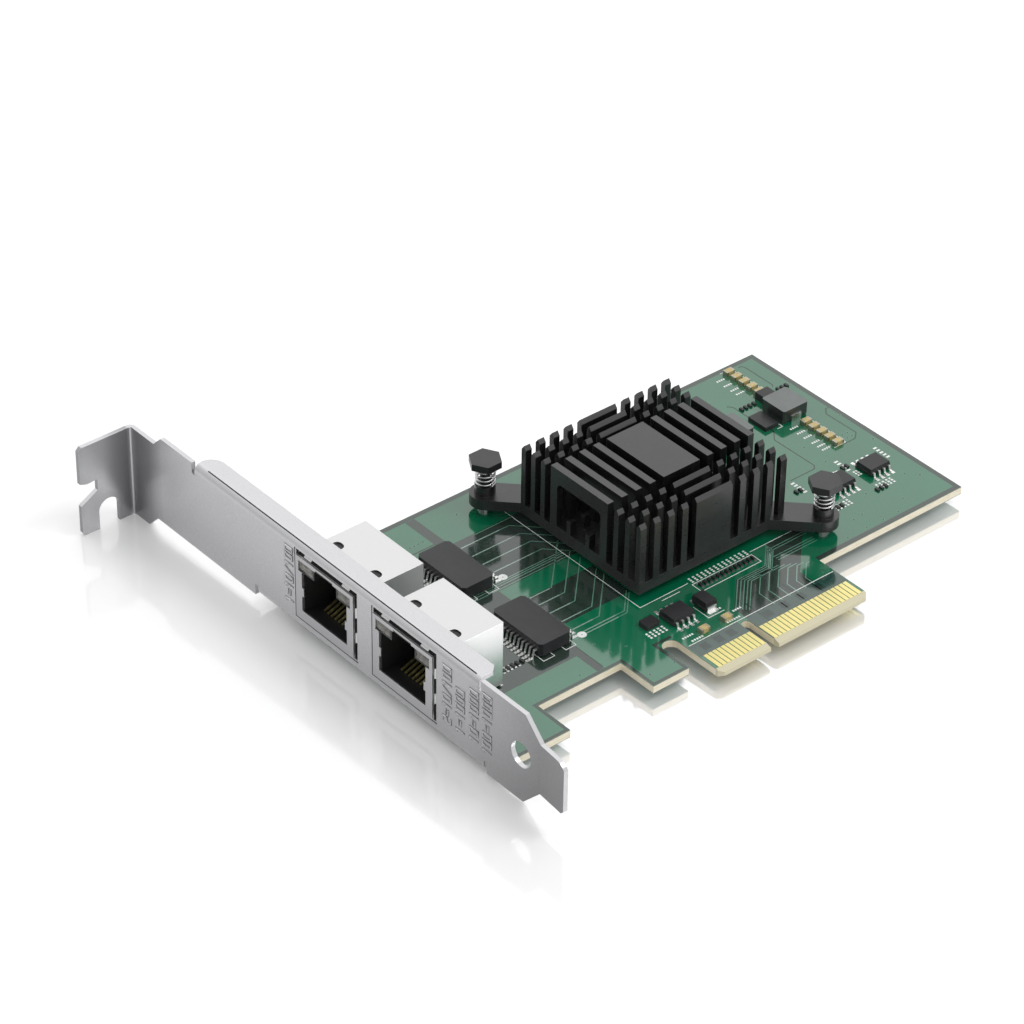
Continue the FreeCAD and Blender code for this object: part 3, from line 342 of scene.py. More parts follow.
def bracket_material():
    """Plated sheet steel with a satin grain, shaded as in the photograph.

    Its shade is painted: painted dark reflections toward the blade, on the jog by the tab, and on
    the tab near its bend and at its outer edge; faces turned up or toward +X are painted lighter.
    """
    n = Look("bracket")
    fine = n.noise(7.0, 2.0, 0.6)
    # Painted dark reflection: the sheet darkens toward the blade
    blade = n.along(X_AXIS, 0.0, 8.0)
    broad = n.ramp(blade, [(0.0, 0.96), (0.28, 0.84), (0.36, 0.66), (0.43, 0.48)])
    # Painted light: faces turned up or toward +X are made lighter
    lit_facing = n.calc("MAXIMUM", n.normal_part(Z_AXIS), n.normal_part(X_AXIS))
    shade = n.mix(n.ramp(lit_facing, [(0.5, 0.0), (0.8, 1.0)]), broad, (1.10, 1.10, 1.10))
    grain = n.ramp(fine, [(0.4, 0.0), (0.7, 0.5)])
    steel = n.mix(grain, (0.56, 0.56, 0.57), (0.40, 0.40, 0.42))
    tone = n.mix(1.0, steel, shade, "MULTIPLY")
    # Painted dark reflection on the tab, near its bend and at its outer edge
    tab = n.ramp(n.along(Y_AXIS, at(0.0, TAB_START_Y).y, -77.0), [
        (0.0, 0.0), (0.04, 0.62), (0.28, 0.34), (0.45, 0.0), (0.75, 0.0), (1.0, 0.30),
    ])
    tone = n.mix(tab, tone, (0.20, 0.20, 0.21))
    # Painted dark reflection on the front faces of the jog by the tab
    inward = n.along(X_AXIS, at(JOG_START_X, 0.0).x, 100.0)
    jog = n.ramp(inward, [(0.0, 0.70), (0.55, 0.60), (0.95, 0.0)])
    tone = n.mix(n.calc("MULTIPLY", jog, n.front()), tone, (0.17, 0.17, 0.18))
    return n.set(
        Base_Color=tone,
        Metallic=1.0,
        Roughness=n.ramp(fine, [(0.3, 0.27), (0.7, 0.36)]),
        Normal=n.bump(fine, 0.22, 0.01, n.rounded(0.08)),
    )


def shield_material():
    """Plated shield sheet, with painted light on the faces toward the contacts and painted shade
    on the faces in front.
    """
    n = Look("shield")
    fine = n.noise(7.0, 2.0, 0.6)
    grain = n.ramp(fine, [(0.45, 0.0), (0.75, 0.25)])
    tone = n.mix(grain, (0.65, 0.65, 0.65), (0.54, 0.54, 0.54))
    # Painted light on the faces toward the contacts
    painted_light_side = n.ramp(n.normal_part(X_AXIS), [(0.5, 0.0), (0.9, 1.0)])
    tone = n.mix(painted_light_side, tone, (0.97, 0.97, 0.97))
    # Painted shade on the front faces
    tone = n.mix(n.front(), tone, (0.44, 0.44, 0.45))
    return n.set(
        Base_Color=tone,
        Metallic=1.0,
        Roughness=n.ramp(fine, [(0.3, 0.30), (0.7, 0.38)]),
        Normal=n.bump(fine, 0.08, 0.01, n.rounded(0.06)),
    )


def gold_material():
    """Gold plate with faint streaks along the contacts."""
    n = Look("gold")
    streak = n.noise(1.4, 4.0, 0.6, (0.15, 1.0, 1.0))
    return n.set(
        Base_Color=n.ramp(streak, [(0.3, (0.78, 0.67, 0.27)), (0.7, (0.88, 0.78, 0.35))]),
        Metallic=1.0,
        Roughness=n.ramp(streak, [(0.3, 0.28), (0.7, 0.40)]),
        Normal=n.bump(streak, 0.1, 0.01),
    )


def sink_material():
    """Black anodised aluminium with fine extrusion lines and softened edges."""
    n = Look("anodised")
    lined = n.noise(3.0, 3.0, 0.6, (1.0, 0.12, 1.0))
    broad = n.noise(0.12, 3.0)
    return n.set(
        Base_Color=n.ramp(broad, [(0.3, (0.005, 0.005, 0.0055)), (0.7, (0.010, 0.010, 0.011))]),
        Roughness=n.ramp(lined, [(0.3, 0.26), (0.7, 0.36)]),
        IOR=1.72,
        Normal=n.bump(lined, 0.12, 0.012, n.rounded(0.07)),
    )


def clear_material():
    """Cloudy clear plastic of the sockets' lamps."""
    n = Look("lamp")
    cloud = n.noise(1.2, 3.0)
    return n.set(
        Base_Color=n.ramp(cloud, [(0.3, (0.060, 0.057, 0.048)), (0.7, (0.21, 0.20, 0.175))]),
        Roughness=0.16,
        Transmission_Weight=0.15,
        IOR=1.49,
        Normal=n.bump(cloud, 0.2, 0.05),
    )


def ceramic_material():
    """Tan ceramic of the chip capacitors."""
    n = Look("chip_ceramic")
    fine = n.noise(3.5, 3.0)
    return n.set(
        Base_Color=n.ramp(fine, [(0.3, (0.38, 0.29, 0.11)), (0.7, (0.54, 0.44, 0.20))]),
        Roughness=0.4,
        Normal=n.bump(fine, 0.3, 0.02, n.rounded(0.08)),
    )


def ink_material(name, color, rough, ior=1.5):
    """Printed or masked flat areas with slightly uneven cover."""
    n = Look(name)
    fine = n.noise(2.5, 3.0)
    return n.set(
        Base_Color=n.ramp(fine, [(0.35, scaled(color, 0.88)), (0.65, scaled(color, 1.12))]),
        Roughness=n.ramp(fine, [(0.3, rough - 0.03), (0.7, rough + 0.05)]),
        IOR=ior,
        Normal=n.bump(fine, 0.08, 0.01),
    )


TIN = (0.78, 0.78, 0.77)
CORE_GREY = (0.062, 0.076, 0.073)
MATERIALS = {
    "board_green": board_material(),
    "contact_gold": gold_material(),
    "bracket_steel": bracket_material(),
    "shield_steel": shield_material(),
    "black_plastic": moulded("socket_plastic", (0.010, 0.010, 0.011), 0.42),
    "clear_plastic": clear_material(),
    "chip_black": moulded("epoxy", (0.016, 0.016, 0.018), 0.36, 5.0, 0.15, 0.06, 1.45),
    "tin_silver": metal("tin", TIN, 0.25, 5.0, 0.1, 0.04),
    "pad_grey": moulded("pad", (0.17, 0.18, 0.19), 0.7),
    "sink_black": sink_material(),
    "screw_black": moulded("black_oxide", (0.018, 0.018, 0.020), 0.34, 5.0, 0.15, 0.10, 1.55),
    "spring_steel": metal("spring", (0.62, 0.62, 0.63), 0.18, 6.0, 0.05, 0.03),
    # The pressed core's upright faces get painted shade
    "inductor_grey": moulded("pressed_core", CORE_GREY, 0.34, 3.0, 0.25, 0.12, 1.95, 0.14),
    "ceramic_tan": ceramic_material(),
}
for row in frame["record"]["subparts"]:
    node = nodes[row["node"]]
    material = MATERIALS[row["material_slot"]]
    if not node.material_slots:
        node.data.materials.append(material)
    for slot in node.material_slots:
        slot.material = material

# The capacitors' ends are duller and warmer than the other tinned parts
CAP_ENDS = metal("cap_ends", (0.46, 0.42, 0.33), 0.35, 5.0, 0.1, 0.04)
nodes["capacitor_ends"].material_slots[0].material = CAP_ENDS

INK_WHITE = ink_material("silkscreen", (0.72, 0.74, 0.72), 0.55)
MASK_DARK = ink_material("bare_laminate_mask", (0.020, 0.036, 0.028), 0.09, 1.8)
MASK_GAP = ink_material("trace_gap", (0.002, 0.024, 0.012), 0.09, 1.7)
MASK_TRACE = ink_material("trace", (0.105, 0.240, 0.175), 0.09, 2.0)
# Painted highlight on the traces' runs by the leads
MASK_HIGHLIGHT = ink_material("trace_painted_highlight", (0.22, 0.32, 0.27), 0.12, 2.0)
MASK_TONGUE = ink_material("tongue_mask", (0.012, 0.050, 0.037), 0.09, 1.9)
MASK_SQUARE = ink_material("tongue_square", (0.004, 0.024, 0.017), 0.09, 1.8)
VIA_DARK = ink_material("via", (0.004, 0.045, 0.022), 0.3)
# Painted shade at the bracket's windows and painted shadow on the shields
GAP_PAINTED_SHADE = ink_material("gap_shadow", (0.012, 0.012, 0.013), 0.6)
SOLDER = metal("solder", TIN, 0.22, 5.0, 0.12, 0.03)
# Painted shade beside the stamped strokes
STAMP_SHADE = metal("stamp_painted_shade", (0.20, 0.20, 0.21), 0.36, 7.0, 0.1, 0.03)
# Painted dark reflection along the bracket's bend
BEND_REFLECTION = metal("bend_painted_reflection", (0.050, 0.050, 0.052), 0.42, 7.0, 0.1, 0.03)


# Helpers for the scene's own pieces

TINY = 1e-6
SHARPEST = 0.3


def finished(name, bm, material, smooth=False):
    """Makes a piece of the mesh, on the card's body and in one of its material slots."""
    mesh = bpy.data.meshes.new(name)
    bm.to_mesh(mesh)
    bm.free()
    if smooth:
        for polygon in mesh.polygons:
            polygon.use_smooth = True
    mesh.materials.append(material)
    piece = bpy.data.objects.new(name, mesh)
    scene.collection.objects.link(piece)
    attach(piece, "root")
    return piece


def quads(bm, first, second, closed=True):
    """Joins two rows of corners with a row of faces, all the way round if closed."""
    count = len(first)
    for i in range(count if closed else count - 1):
        j = (i + 1) % count
        bm.faces.new((first[i], first[j], second[j], second[i]))


def corners(bm, points, z):
    return [bm.verts.new(at(x, y, z)) for x, y in points]


def patch(bm, points, z):
    bm.faces.new(corners(bm, points, z))


def disc(bm, x, y, radius, z, sides, hole):
    """A flat disc, or a ring when there is a hole."""
    turns = [2 * math.pi * i / sides for i in range(sides)]
    rim = [(x + radius * math.cos(turn), y + radius * math.sin(turn)) for turn in turns]
    if hole:
        inner = [(x + (px - x) * hole / radius, y + (py - y) * hole / radius) for px, py in rim]
        quads(bm, corners(bm, rim, z), corners(bm, inner, z))
    else:
        patch(bm, rim, z)


def mitres(points, closed):
    """Each point of a flat line, the direction across it there, and what its mitre divides by."""
    count = len(points)
    for i, here in enumerate(points):
        before = (here - points[i - 1]).normalized() if i > 0 or closed else None
        after = (points[(i + 1) % count] - here).normalized() if i < count - 1 or closed else None
        before = before or after
        after = after or before
        both = before + after
        left = Vector((-before.y, before.x))
        across = Vector((-both.y, both.x))
        across = across.normalized() if across.length > TINY else left
        yield here, across, max(SHARPEST, across.dot(left))


def ribbon(bm, points, width, z):
    """A flat line of one width through the points, with mitred corners."""
    flat = [Vector(point) for point in points]
    closed = (flat[0] - flat[-1]).length < TINY
    if closed:
        flat.pop()
    left, right = [], []
    for here, across, lean in mitres(flat, closed):
        reach = across * (width / 2 / lean)
        left.append(here + reach)
        right.append(here - reach)
    quads(bm, corners(bm, right, z), corners(bm, left, z), closed)


def inset(points, distance):
    """Moves an open outline that runs counter-clockwise inwards by the distance."""
    flat = [Vector(point) for point in points]
    return [here + across * (distance / lean) for here, across, lean in mitres(flat, False)]


def rectangle(x0, x1, y0, y1):
    return [(x0, y0), (x1, y0), (x1, y1), (x0, y1)]


def lines(name, material, width, z, runs):
    """One piece on the board, of flat lines of one width."""
    bm = bmesh.new()
    for run in runs:
        ribbon(bm, run, width, z)
    finished(name, bm, material)


def patches(name, material, z, outlines):
    """One piece on the board, of flat faces."""
    bm = bmesh.new()
    for outline in outlines:
        patch(bm, outline, z)
    finished(name, bm, material)


def discs(name, material, spots, radius, z, sides, hole=0.0):
    """One piece on the board, of flat discs or rings of one size."""
    bm = bmesh.new()
    for x, y in spots:
        disc(bm, x, y, radius, z, sides, hole)
    finished(name, bm, material)


# Flat mask, trace and print pieces on the board

Z_MASK = 0.006
Z_LINE = 0.010
Z_PAD = 0.013
Z_INK = 0.016

# The border of bare laminate, as two open stretches of the board's outline that run
# counter-clockwise, how far inside its middle runs, and its width
BORDER = (
    ([(-68.9, -57.2), (-4.45, -57.2), (-4.45, -42.7), (-12.8, -42.7), (-12.8, -24.1),
      (-4.45, -24.1), (-4.45, -16.0), (-12.5, -16.0), (-12.5, -12.6)], 0.42, 0.62),
    ([(-12.8, 22.6), (-12.8, 58.3), (-68.9, 58.3), (-68.9, -57.2)], 0.58, 0.98),
)
BARE_AREAS = (
    rectangle(-67.75, -57.5, -27.4, -25.3),
    rectangle(-57.5, -41.6, -44.0, -8.5),
    rectangle(-41.6, -36.9, -44.0, -27.3),
    rectangle(-36.9, -22.3, -44.0, -26.6),
    rectangle(-36.9, -27.2, -26.6, -9.5),
    rectangle(-22.3, -19.0, -56.4, -27.3),
    rectangle(-19.0, -13.6, -28.8, -27.3),
    [(-8.9, 1.2), (-8.9, 17.6), (-12.4, 17.6), (-16.3, 21.5), (-22.4, 27.6), (-22.4, 18.7),
     (-17.9, 14.2), (-17.9, 7.3), (-11.8, 1.2)],
)
TONGUE_AREAS = (rectangle(-8.8, -5.3, -12.45, -0.98), rectangle(-8.8, -5.3, 0.98, 22.45))
SQUARES_X = (-8.1, -6.3)
SQUARES_Y = (-10.6, -7.4, -4.6, 4.1, 8.0, 12.0, 16.2)
SQUARE_H = 1.7

# Where traces leave the transformers' leads, by X. Those of the second package also have the
# Y where the trace turns
LEADS_END_Y = -24.5
FIRST_LEADS_X = (-55.5, -52.4, -49.4, -46.4)
SECOND_LEADS = ((-36.6, -19.5), (-34.1, -18.6), (-31.1, -18.8), (-28.0, -17.6), (-25.1, -18.4))
OUTER_LEADS_X = (-23.5, -22.8)
SECOND_END_Y = -9.6
TRACE_W = 0.20
HIGHLIGHT_W = 0.26
POUR_GAP_W = 0.22
POUR_OUTLINES = (
    *([(-12.0, y), (-5.7, y)] for y in (16.9, 12.7, 8.8, 3.8)),
    [(-21.3, -27.2), (-14.0, -27.2)],
    [(-67.1, 53.1), (-67.1, 53.8), (-66.5, 54.2), (-58.8, 54.2), (-58.3, 53.8)],
    [(-46.7, 57.1), (-46.7, 56.5), (-45.4, 55.4), (-37.5, 55.5), (-36.2, 54.0), (-36.2, 51.0)],
    [(-58.8, 42.5), (-57.9, 43.3), (-53.5, 43.3), (-52.9, 43.8), (-47.3, 43.8), (-45.2, 42.0),
     (-34.6, 42.1), (-33.8, 41.3), (-33.8, 35.4)],
    [(-59.4, -57.0), (-59.4, -27.4)],
)

VIAS = (
    *((x, y) for x in (-38.5, -37.2) for y in (54.2, 53.0, 51.9)),
    (-43.5, 57.1), (-34.0, 56.5), (-22.3, 53.1), (-40.0, 44.6), (-34.2, 44.6), (-22.3, 43.3),
    (-17.9, 36.0), (-14.6, 44.0), (-14.6, 40.2), (-14.6, 36.0), (-14.6, 31.3), (-18.1, 38.3),
    (-64.0, -18.5), (-61.3, -28.5), (-61.3, -29.5), (-61.3, -30.5), (-61.3, -31.5),
    (-14.7, -31.8), (-16.2, -23.7), (-7.2, -16.9), (-7.3, -22.4), (-15.8, -20.4),
    (-19.6, -24.4), (-17.0, 47.5), (-20.4, 55.2),
)
VIA_R = 0.20
VIA_RING_R = 0.30
VIA_SIDES = 8


def bare_areas():
    """The border and the areas with no copper under the mask, which look grey."""
    bm = bmesh.new()
    for outline, inside, width in BORDER:
        ribbon(bm, inset(outline, inside), width, Z_MASK)
    finished("board_border", bm, MASK_DARK)
    patches("bare_areas", MASK_DARK, Z_MASK, BARE_AREAS)
    patches("tongue_mask", MASK_TONGUE, Z_MASK, TONGUE_AREAS)
    squares = [rectangle(*SQUARES_X, y, y + SQUARE_H) for y in SQUARES_Y]
    patches("tongue_squares", MASK_SQUARE, Z_LINE, squares)


def traces():
    """Traces under the mask, a painted highlight on their ends by the leads, and the copper's
    outlines.
    """
    first_y = LEADS_END_Y
    last_y = SECOND_END_Y
    runs = [[(-57.2, -20.0), (-57.2, -11.0)]]
    runs += [[(x, first_y), (x, -13.4), (x + 4.4, -9.0)] for x in FIRST_LEADS_X]
    runs += [[(x, -32.6), (x, -11.0)] for x in (-43.65, -43.15, -42.6, -41.9)]
    runs += [[(x, first_y), (x, turn), (x - (last_y - turn), last_y)] for x, turn in SECOND_LEADS]
    runs += [[(x, -26.0), (x, -14.0), (x - 4.2, -9.8)] for x in OUTER_LEADS_X]
    for k in range(5):
        x = -17.7 + 0.45 * k
        low = 7.5 + 0.4 * k
        runs.append([(x - 4.4, 18.4), (x, 14.0), (x, low), (x + 6.0, low - 6.0)])
    for k in range(6):
        x = -13.6 - 0.55 * k
        y = 17.2 - 1.9 * k
        runs.append([(-8.4, y), (-10.6 - 0.35 * k, y), (x, y + 3.0 + 0.2 * k), (x, 21.0 - k)])
    runs += [[(x, 17.0), (x, 26.5)] for x in (-20.9, -20.3, -18.7, -18.1, -17.5)]
    lines("traces", MASK_TRACE, TRACE_W, Z_LINE, runs)
    # Painted highlight on the traces' first runs from the leads
    ends = [[(x, first_y), (x, -15.5)] for x in FIRST_LEADS_X]
    ends += [[(x, first_y), (x, -19.9)] for x, _ in SECOND_LEADS]
    ends += [[(x, -24.9), (x, -16.0)] for x in OUTER_LEADS_X]
    lines("traces_painted_highlight", MASK_HIGHLIGHT, HIGHLIGHT_W, Z_PAD, ends)
    lines("pour_outlines", MASK_GAP, POUR_GAP_W, Z_LINE, POUR_OUTLINES)


def vias():
    discs("vias", VIA_DARK, VIAS, VIA_R, Z_LINE, VIA_SIDES)
    discs("via_rings", MASK_TRACE, VIAS, VIA_RING_R, Z_LINE, VIA_SIDES, VIA_R)


# Printed lines round the small parts
PRINT_W = 0.16
HOOK = ((-24.0, -34.1), (-21.46, -34.1), (-21.46, -31.65), (-22.9, -31.65), (-22.9, -29.1),
        (-21.46, -29.1), (-21.46, -26.8), (-24.0, -26.8))
HOOKS_DX = (0.0, -20.7)
PRINT_LINES = (
    [(-60.96, -11.3), (-22.4, -11.3), (-22.4, -0.1)],
    [(-22.4, 14.7), (-22.4, 26.7)],
    [(-8.9, -12.05), (-8.9, 22.2)],
    *([(x + dx, y) for x, y in HOOK] for dx in HOOKS_DX),
    [(-21.65, 0.23), (-19.1, 0.23), (-19.1, 14.4), (-21.65, 14.4), (-21.65, 0.23)],
    [(-16.7, -3.96), (-12.7, -3.96), (-12.7, -0.3)],
    [(-21.5, -2.8), (-21.5, -7.0)],
    [(-19.6, -12.6), (-19.6, -14.0), (-16.7, -14.0), (-16.7, -12.6)],
    [(-67.7, 48.9), (-67.7, 51.7), (-58.9, 51.7)],
    [(-46.5, 51.8), (-36.4, 51.8), (-36.4, 48.9)],
    [(-53.0, 46.2), (-47.5, 46.2), (-47.5, 44.9)],
)

# Rows of short marks where the photograph has small print, as X from and to, Y from and to,
# how many, and whether the row runs along X
MARK_ROWS = (
    (-23.5, -21.9, 0.4, 14.4, 14, False),
    (-16.3, -14.4, -11.5, -15.9, 5, False),
    (-32.0, -27.7, 54.2, 55.0, 5, True),
    (-33.3, -29.2, 45.5, 46.4, 5, True),
    (-28.8, -27.0, 46.0, 47.2, 3, True),
    (-31.0, -27.0, 43.5, 44.2, 5, True),
    (-33.3, -29.2, 34.6, 35.5, 5, True),
    (-23.3, -21.4, 46.2, 50.4, 5, False),
    (-23.3, -21.4, 35.4, 39.6, 5, False),
    (-24.6, -22.9, -41.8, -37.6, 5, False),
)
LONE_MARKS = (
    *([(x, -0.3), (x, -1.8)] for x in (-14.8, -13.6)),
    *([(x, 46.5), (x, 48.6)] for x in (-66.0, -64.0, -62.1, -60.6)),
    *([(x, 46.5), (x, 48.6)] for x in (-45.8, -43.9, -42.1, -40.0, -38.5, -37.2)),
    [(-11.5, 0.5), (-11.5, 2.6)],
    [(-9.7, -2.5), (-9.7, 0.7)],
    [(-9.6, -10.8), (-9.6, -8.0)],
    [(-11.1, -11.6), (-11.1, -9.0)],
    [(-21.7, -43.9), (-20.8, -43.9)],
)
MARK_W = 0.44
SHORT_MARK = 1.2
DASH_PITCH = 0.55
DASH_START = 0.12
DASH_END = 0.80

PIN_DOTS = ((-44.3, -24.15), (-23.0, -24.15))
PIN_DOT_R = 0.85
PIN_DOT_HOLE = 0.12
PIN_DOT_SIDES = 24


def ticks(x0, x1, y0, y1, count, along_x):
    """Short printed marks in a row, one beside each small part."""
    made = []
    for i in range(count):
        part = (i + 0.5) / count
        if along_x:
            x = x0 + (x1 - x0) * part
            made.append([(x, y0), (x, y1)])
        else:
            y = y0 + (y1 - y0) * part
            made.append([(x0, y), (x1, y)])
    return made


def dashed(runs):
    """Splits each longer mark into short dashes, as a line of small print looks from afar."""
    made = []
    for (x0, y0), (x1, y1) in runs:
        length = math.hypot(x1 - x0, y1 - y0)
        if length <= SHORT_MARK:
            made.append([(x0, y0), (x1, y1)])
            continue
        count = round(length / DASH_PITCH)
        for i in range(count):
            ends = ((i + DASH_START) / count, (i + DASH_END) / count)
            made.append([(x0 + (x1 - x0) * end, y0 + (y1 - y0) * end) for end in ends])
    return made


def silkscreen():
    """The white print: lines, marks, and a dot by the first lead of each transformer."""
    lines("silkscreen_lines", INK_WHITE, PRINT_W, Z_INK, PRINT_LINES)
    marks = [mark for row in MARK_ROWS for mark in ticks(*row)]
    marks += LONE_MARKS
    lines("silkscreen_ticks", INK_WHITE, MARK_W, Z_INK, dashed(marks))
    discs("pin_one_dots", INK_WHITE, PIN_DOTS, PIN_DOT_R, Z_INK, PIN_DOT_SIDES, PIN_DOT_HOLE)


# Tinned pads, by how far from a part's middle they start and end, and half their width
SMALL_CHIPS = ((-27.3, 49.9), (-27.3, 41.2), (-16.4, -8.1))
CHIP_LEAD_PITCH = 1.27
CHIP_PAD_REACH = (2.35, 3.65)
CHIP_PAD_HALF = 0.32
TRANSFORMERS_X = tuple(middle("line_transformer_" + letter).x for letter in "ab")
TRANSFORMERS_Y = middle("line_transformer_a").y
TRANSFORMER_PAD_REACH = (4.5, 5.9)
TRANSFORMER_PAD_HALF = 0.27
SMALL_PARTS = 13
SMALL_PARTS_Y = 1.3
SMALL_PARTS_PITCH = 1.04
SMALL_PARTS_PADS_X = ((-21.45, -21.12), (-20.08, -19.75))
SMALL_PARTS_PAD_HALF = 0.3


def pads():
    """Pads of the small chips, the transformers and the row of small parts by the heat sink."""
    shapes = []
    for x, y in SMALL_CHIPS:
        for side in (-1, 1):
            x0, x1 = sorted(x + side * reach for reach in CHIP_PAD_REACH)
            for i in range(4):
                lead_y = y + CHIP_LEAD_PITCH * (i - 1.5)
                shapes.append(rectangle(x0, x1, lead_y - CHIP_PAD_HALF, lead_y + CHIP_PAD_HALF))
    for x in TRANSFORMERS_X:
        for side in (-1, 1):
            y0, y1 = sorted(TRANSFORMERS_Y + side * reach for reach in TRANSFORMER_PAD_REACH)
            for i in range(12):
                lead_x = x + (i - 5.5)
                half = TRANSFORMER_PAD_HALF
                shapes.append(rectangle(lead_x - half, lead_x + half, y0, y1))
    for i in range(SMALL_PARTS):
        y = SMALL_PARTS_Y + SMALL_PARTS_PITCH * i
        for x0, x1 in SMALL_PARTS_PADS_X:
            shapes.append(rectangle(x0, x1, y - SMALL_PARTS_PAD_HALF, y + SMALL_PARTS_PAD_HALF))
    patches("tinned_pads", SOLDER, Z_PAD, shapes)


bare_areas()
traces()
vias()
silkscreen()
pads()


# Stamped numbers and window gaps of the bracket

FACE_Y = -58.96
BRACKET_TOP = card_box("mounting_bracket")[1].z

# Strokes of each sign, from and to, as (along, up) in a sign 1 wide and 2 high
SIGNS = {
    "0": (((0, 0), (1, 0)), ((1, 0), (1, 2)), ((1, 2), (0, 2)), ((0, 2), (0, 0))),
    "1": (((0.5, 0), (0.5, 2)), ((0.5, 2), (0.15, 1.6))),
    "2": (((0, 2), (1, 2)), ((1, 2), (1, 1)), ((1, 1), (0, 1)), ((0, 1), (0, 0)),
          ((0, 0), (1, 0))),
    "=": (((0, 0.7), (1, 0.7)), ((0, 1.3), (1, 1.3))),
    "/": (((0, 0), (1, 2)),),
}
SIGN_HALF_H = 1.05
SIGN_W = 0.62

# Columns of signs that read upward, as X of the column's foot line, Z of the first sign,
# pitch and text. The signs' width is a part of the pitch
STAMPS = (
    (-59.2, 1.9, 1.55, "1=10/100"),
    (-16.1, 2.1, 1.52, "2=10/100"),
    (-12.7, 1.8, 1.62, "1=1000"),
    (-9.1, 2.3, 1.60, "10=1000"),
    (-5.7, 1.8, 1.60, "100=1000"),
)
# A stroke's ridge has sloped sides and stands in a flat strip of shade
RIDGE_HALF = 0.13
RIDGE_H = 0.22
RIDGE_ROOT = 0.01
RIDGE_TOP_PART = 0.45
RIDGE_TOP_INSET = 0.06
STAMP_SHADE_HALF = 0.20
LIFT = 0.012

# The bracket's windows, the painted shade lines beside and below them, and the painted shadow on
# the shields just behind the face
WINDOW_HALF = 7.97
WINDOW_LOW = 0.45
WINDOW_HIGH = 13.6
GAP_HALF = 0.13
GAP_LIFT = 0.016
GAP_BESIDE = 0.52
GAP_BELOW = 0.5
GAP_PAST_TOP = 0.9
GAP_PAST_SIDE = 0.8
SHIELD_T = 0.30
SHIELD_LIFT = 0.02
SHADOW_Y = (FACE_Y + 0.10, FACE_Y + 2.6)


def face_corners(bm, points, lift):
    """Corners at places (x, z) that stand that far out from the bracket's outer face."""
    return [bm.verts.new(at(x, FACE_Y - lift, z)) for x, z in points]


def ridge(bm, a, b):
    """A low ridge with sloped sides between two places (x, z) on the bracket's outer face."""
    start = Vector(a)
    end = Vector(b)
    along = (end - start).normalized()
    side = Vector((-along.y, along.x)) * RIDGE_HALF
    start = start - along * RIDGE_HALF
    end = end + along * RIDGE_HALF
    top_side = side * RIDGE_TOP_PART
    slope = along * RIDGE_TOP_INSET
    base = (start - side, end - side, end + side, start + side)
    top = (start - top_side + slope, end - top_side - slope,
           end + top_side - slope, start + top_side + slope)
    low = face_corners(bm, base, -RIDGE_ROOT)
    high = face_corners(bm, top, RIDGE_H)
    bm.faces.new(high)
    bm.faces.new(list(reversed(low)))
    quads(bm, low, high)


def face_line(bm, a, b, half_width, lift=LIFT):
    """A flat strip on the bracket's outer face between two places (x, z)."""
    start = Vector(a)
    end = Vector(b)
    along = (end - start).normalized() * half_width
    side = Vector((-along.y, along.x))
    strip = (start - along - side, end + along - side, end + along + side, start - along + side)
    bm.faces.new(face_corners(bm, strip, lift))


def stamped_numbers():
    """Columns that read upward beside the sockets, as on the photographed bracket."""
    bm = bmesh.new()
    shade = bmesh.new()
    for x, z, pitch, text in STAMPS:
        for sign in text:
            for stroke in SIGNS[sign]:
                start, end = ((x - up * SIGN_HALF_H, z + along * pitch * SIGN_W)
                              for along, up in stroke)
                ridge(bm, start, end)
                # Painted shade beside each stroke
                face_line(shade, start, end, STAMP_SHADE_HALF)
            z += pitch
    bmesh.ops.recalc_face_normals(bm, faces=bm.faces)
    finished("stamped_numbers", bm, MATERIALS["bracket_steel"])
    finished("stamped_shade", shade, STAMP_SHADE)


def window_gap_shade():
    """Painted shade: dark lines on the bracket's face along the gaps between its windows and the
    sockets, and painted shadows on the shields inside.
    """
    bm = bmesh.new()
    near_y, deep_y = SHADOW_Y
    for letter in "ab":
        insert = "jack_insert_" + letter
        centre = middle(insert).x
        x0 = centre - WINDOW_HALF
        x1 = centre + WINDOW_HALF
        # Painted shade lines beside and below the window
        corner = (x0 - GAP_BESIDE, WINDOW_LOW - GAP_BELOW)
        face_line(bm, corner, (corner[0], WINDOW_HIGH + GAP_PAST_TOP), GAP_HALF)
        face_line(bm, corner, (x1 + GAP_PAST_SIDE, corner[1]), GAP_HALF, GAP_LIFT)
        # Painted shadow on the shield's top and side, just behind the bracket's face
        top = card_box(insert)[1].z + SHIELD_T
        patch(bm, rectangle(x0, x1, near_y, deep_y), top + SHIELD_LIFT)
        beside = ((near_y, WINDOW_LOW), (near_y, top), (deep_y, top), (deep_y, WINDOW_LOW))
        bm.faces.new([bm.verts.new(at(x1 + SHIELD_LIFT, y, z)) for y, z in beside])
    finished("window_gap_shade", bm, GAP_PAINTED_SHADE)


stamped_numbers()
window_gap_shade()


# Lamps of the sockets

LAMP_W = 3.75
LAMP_DOME = 0.24
LAMP_PROUD = 0.30
LAMP_COLUMNS = 10
LAMP_ROWS = 6


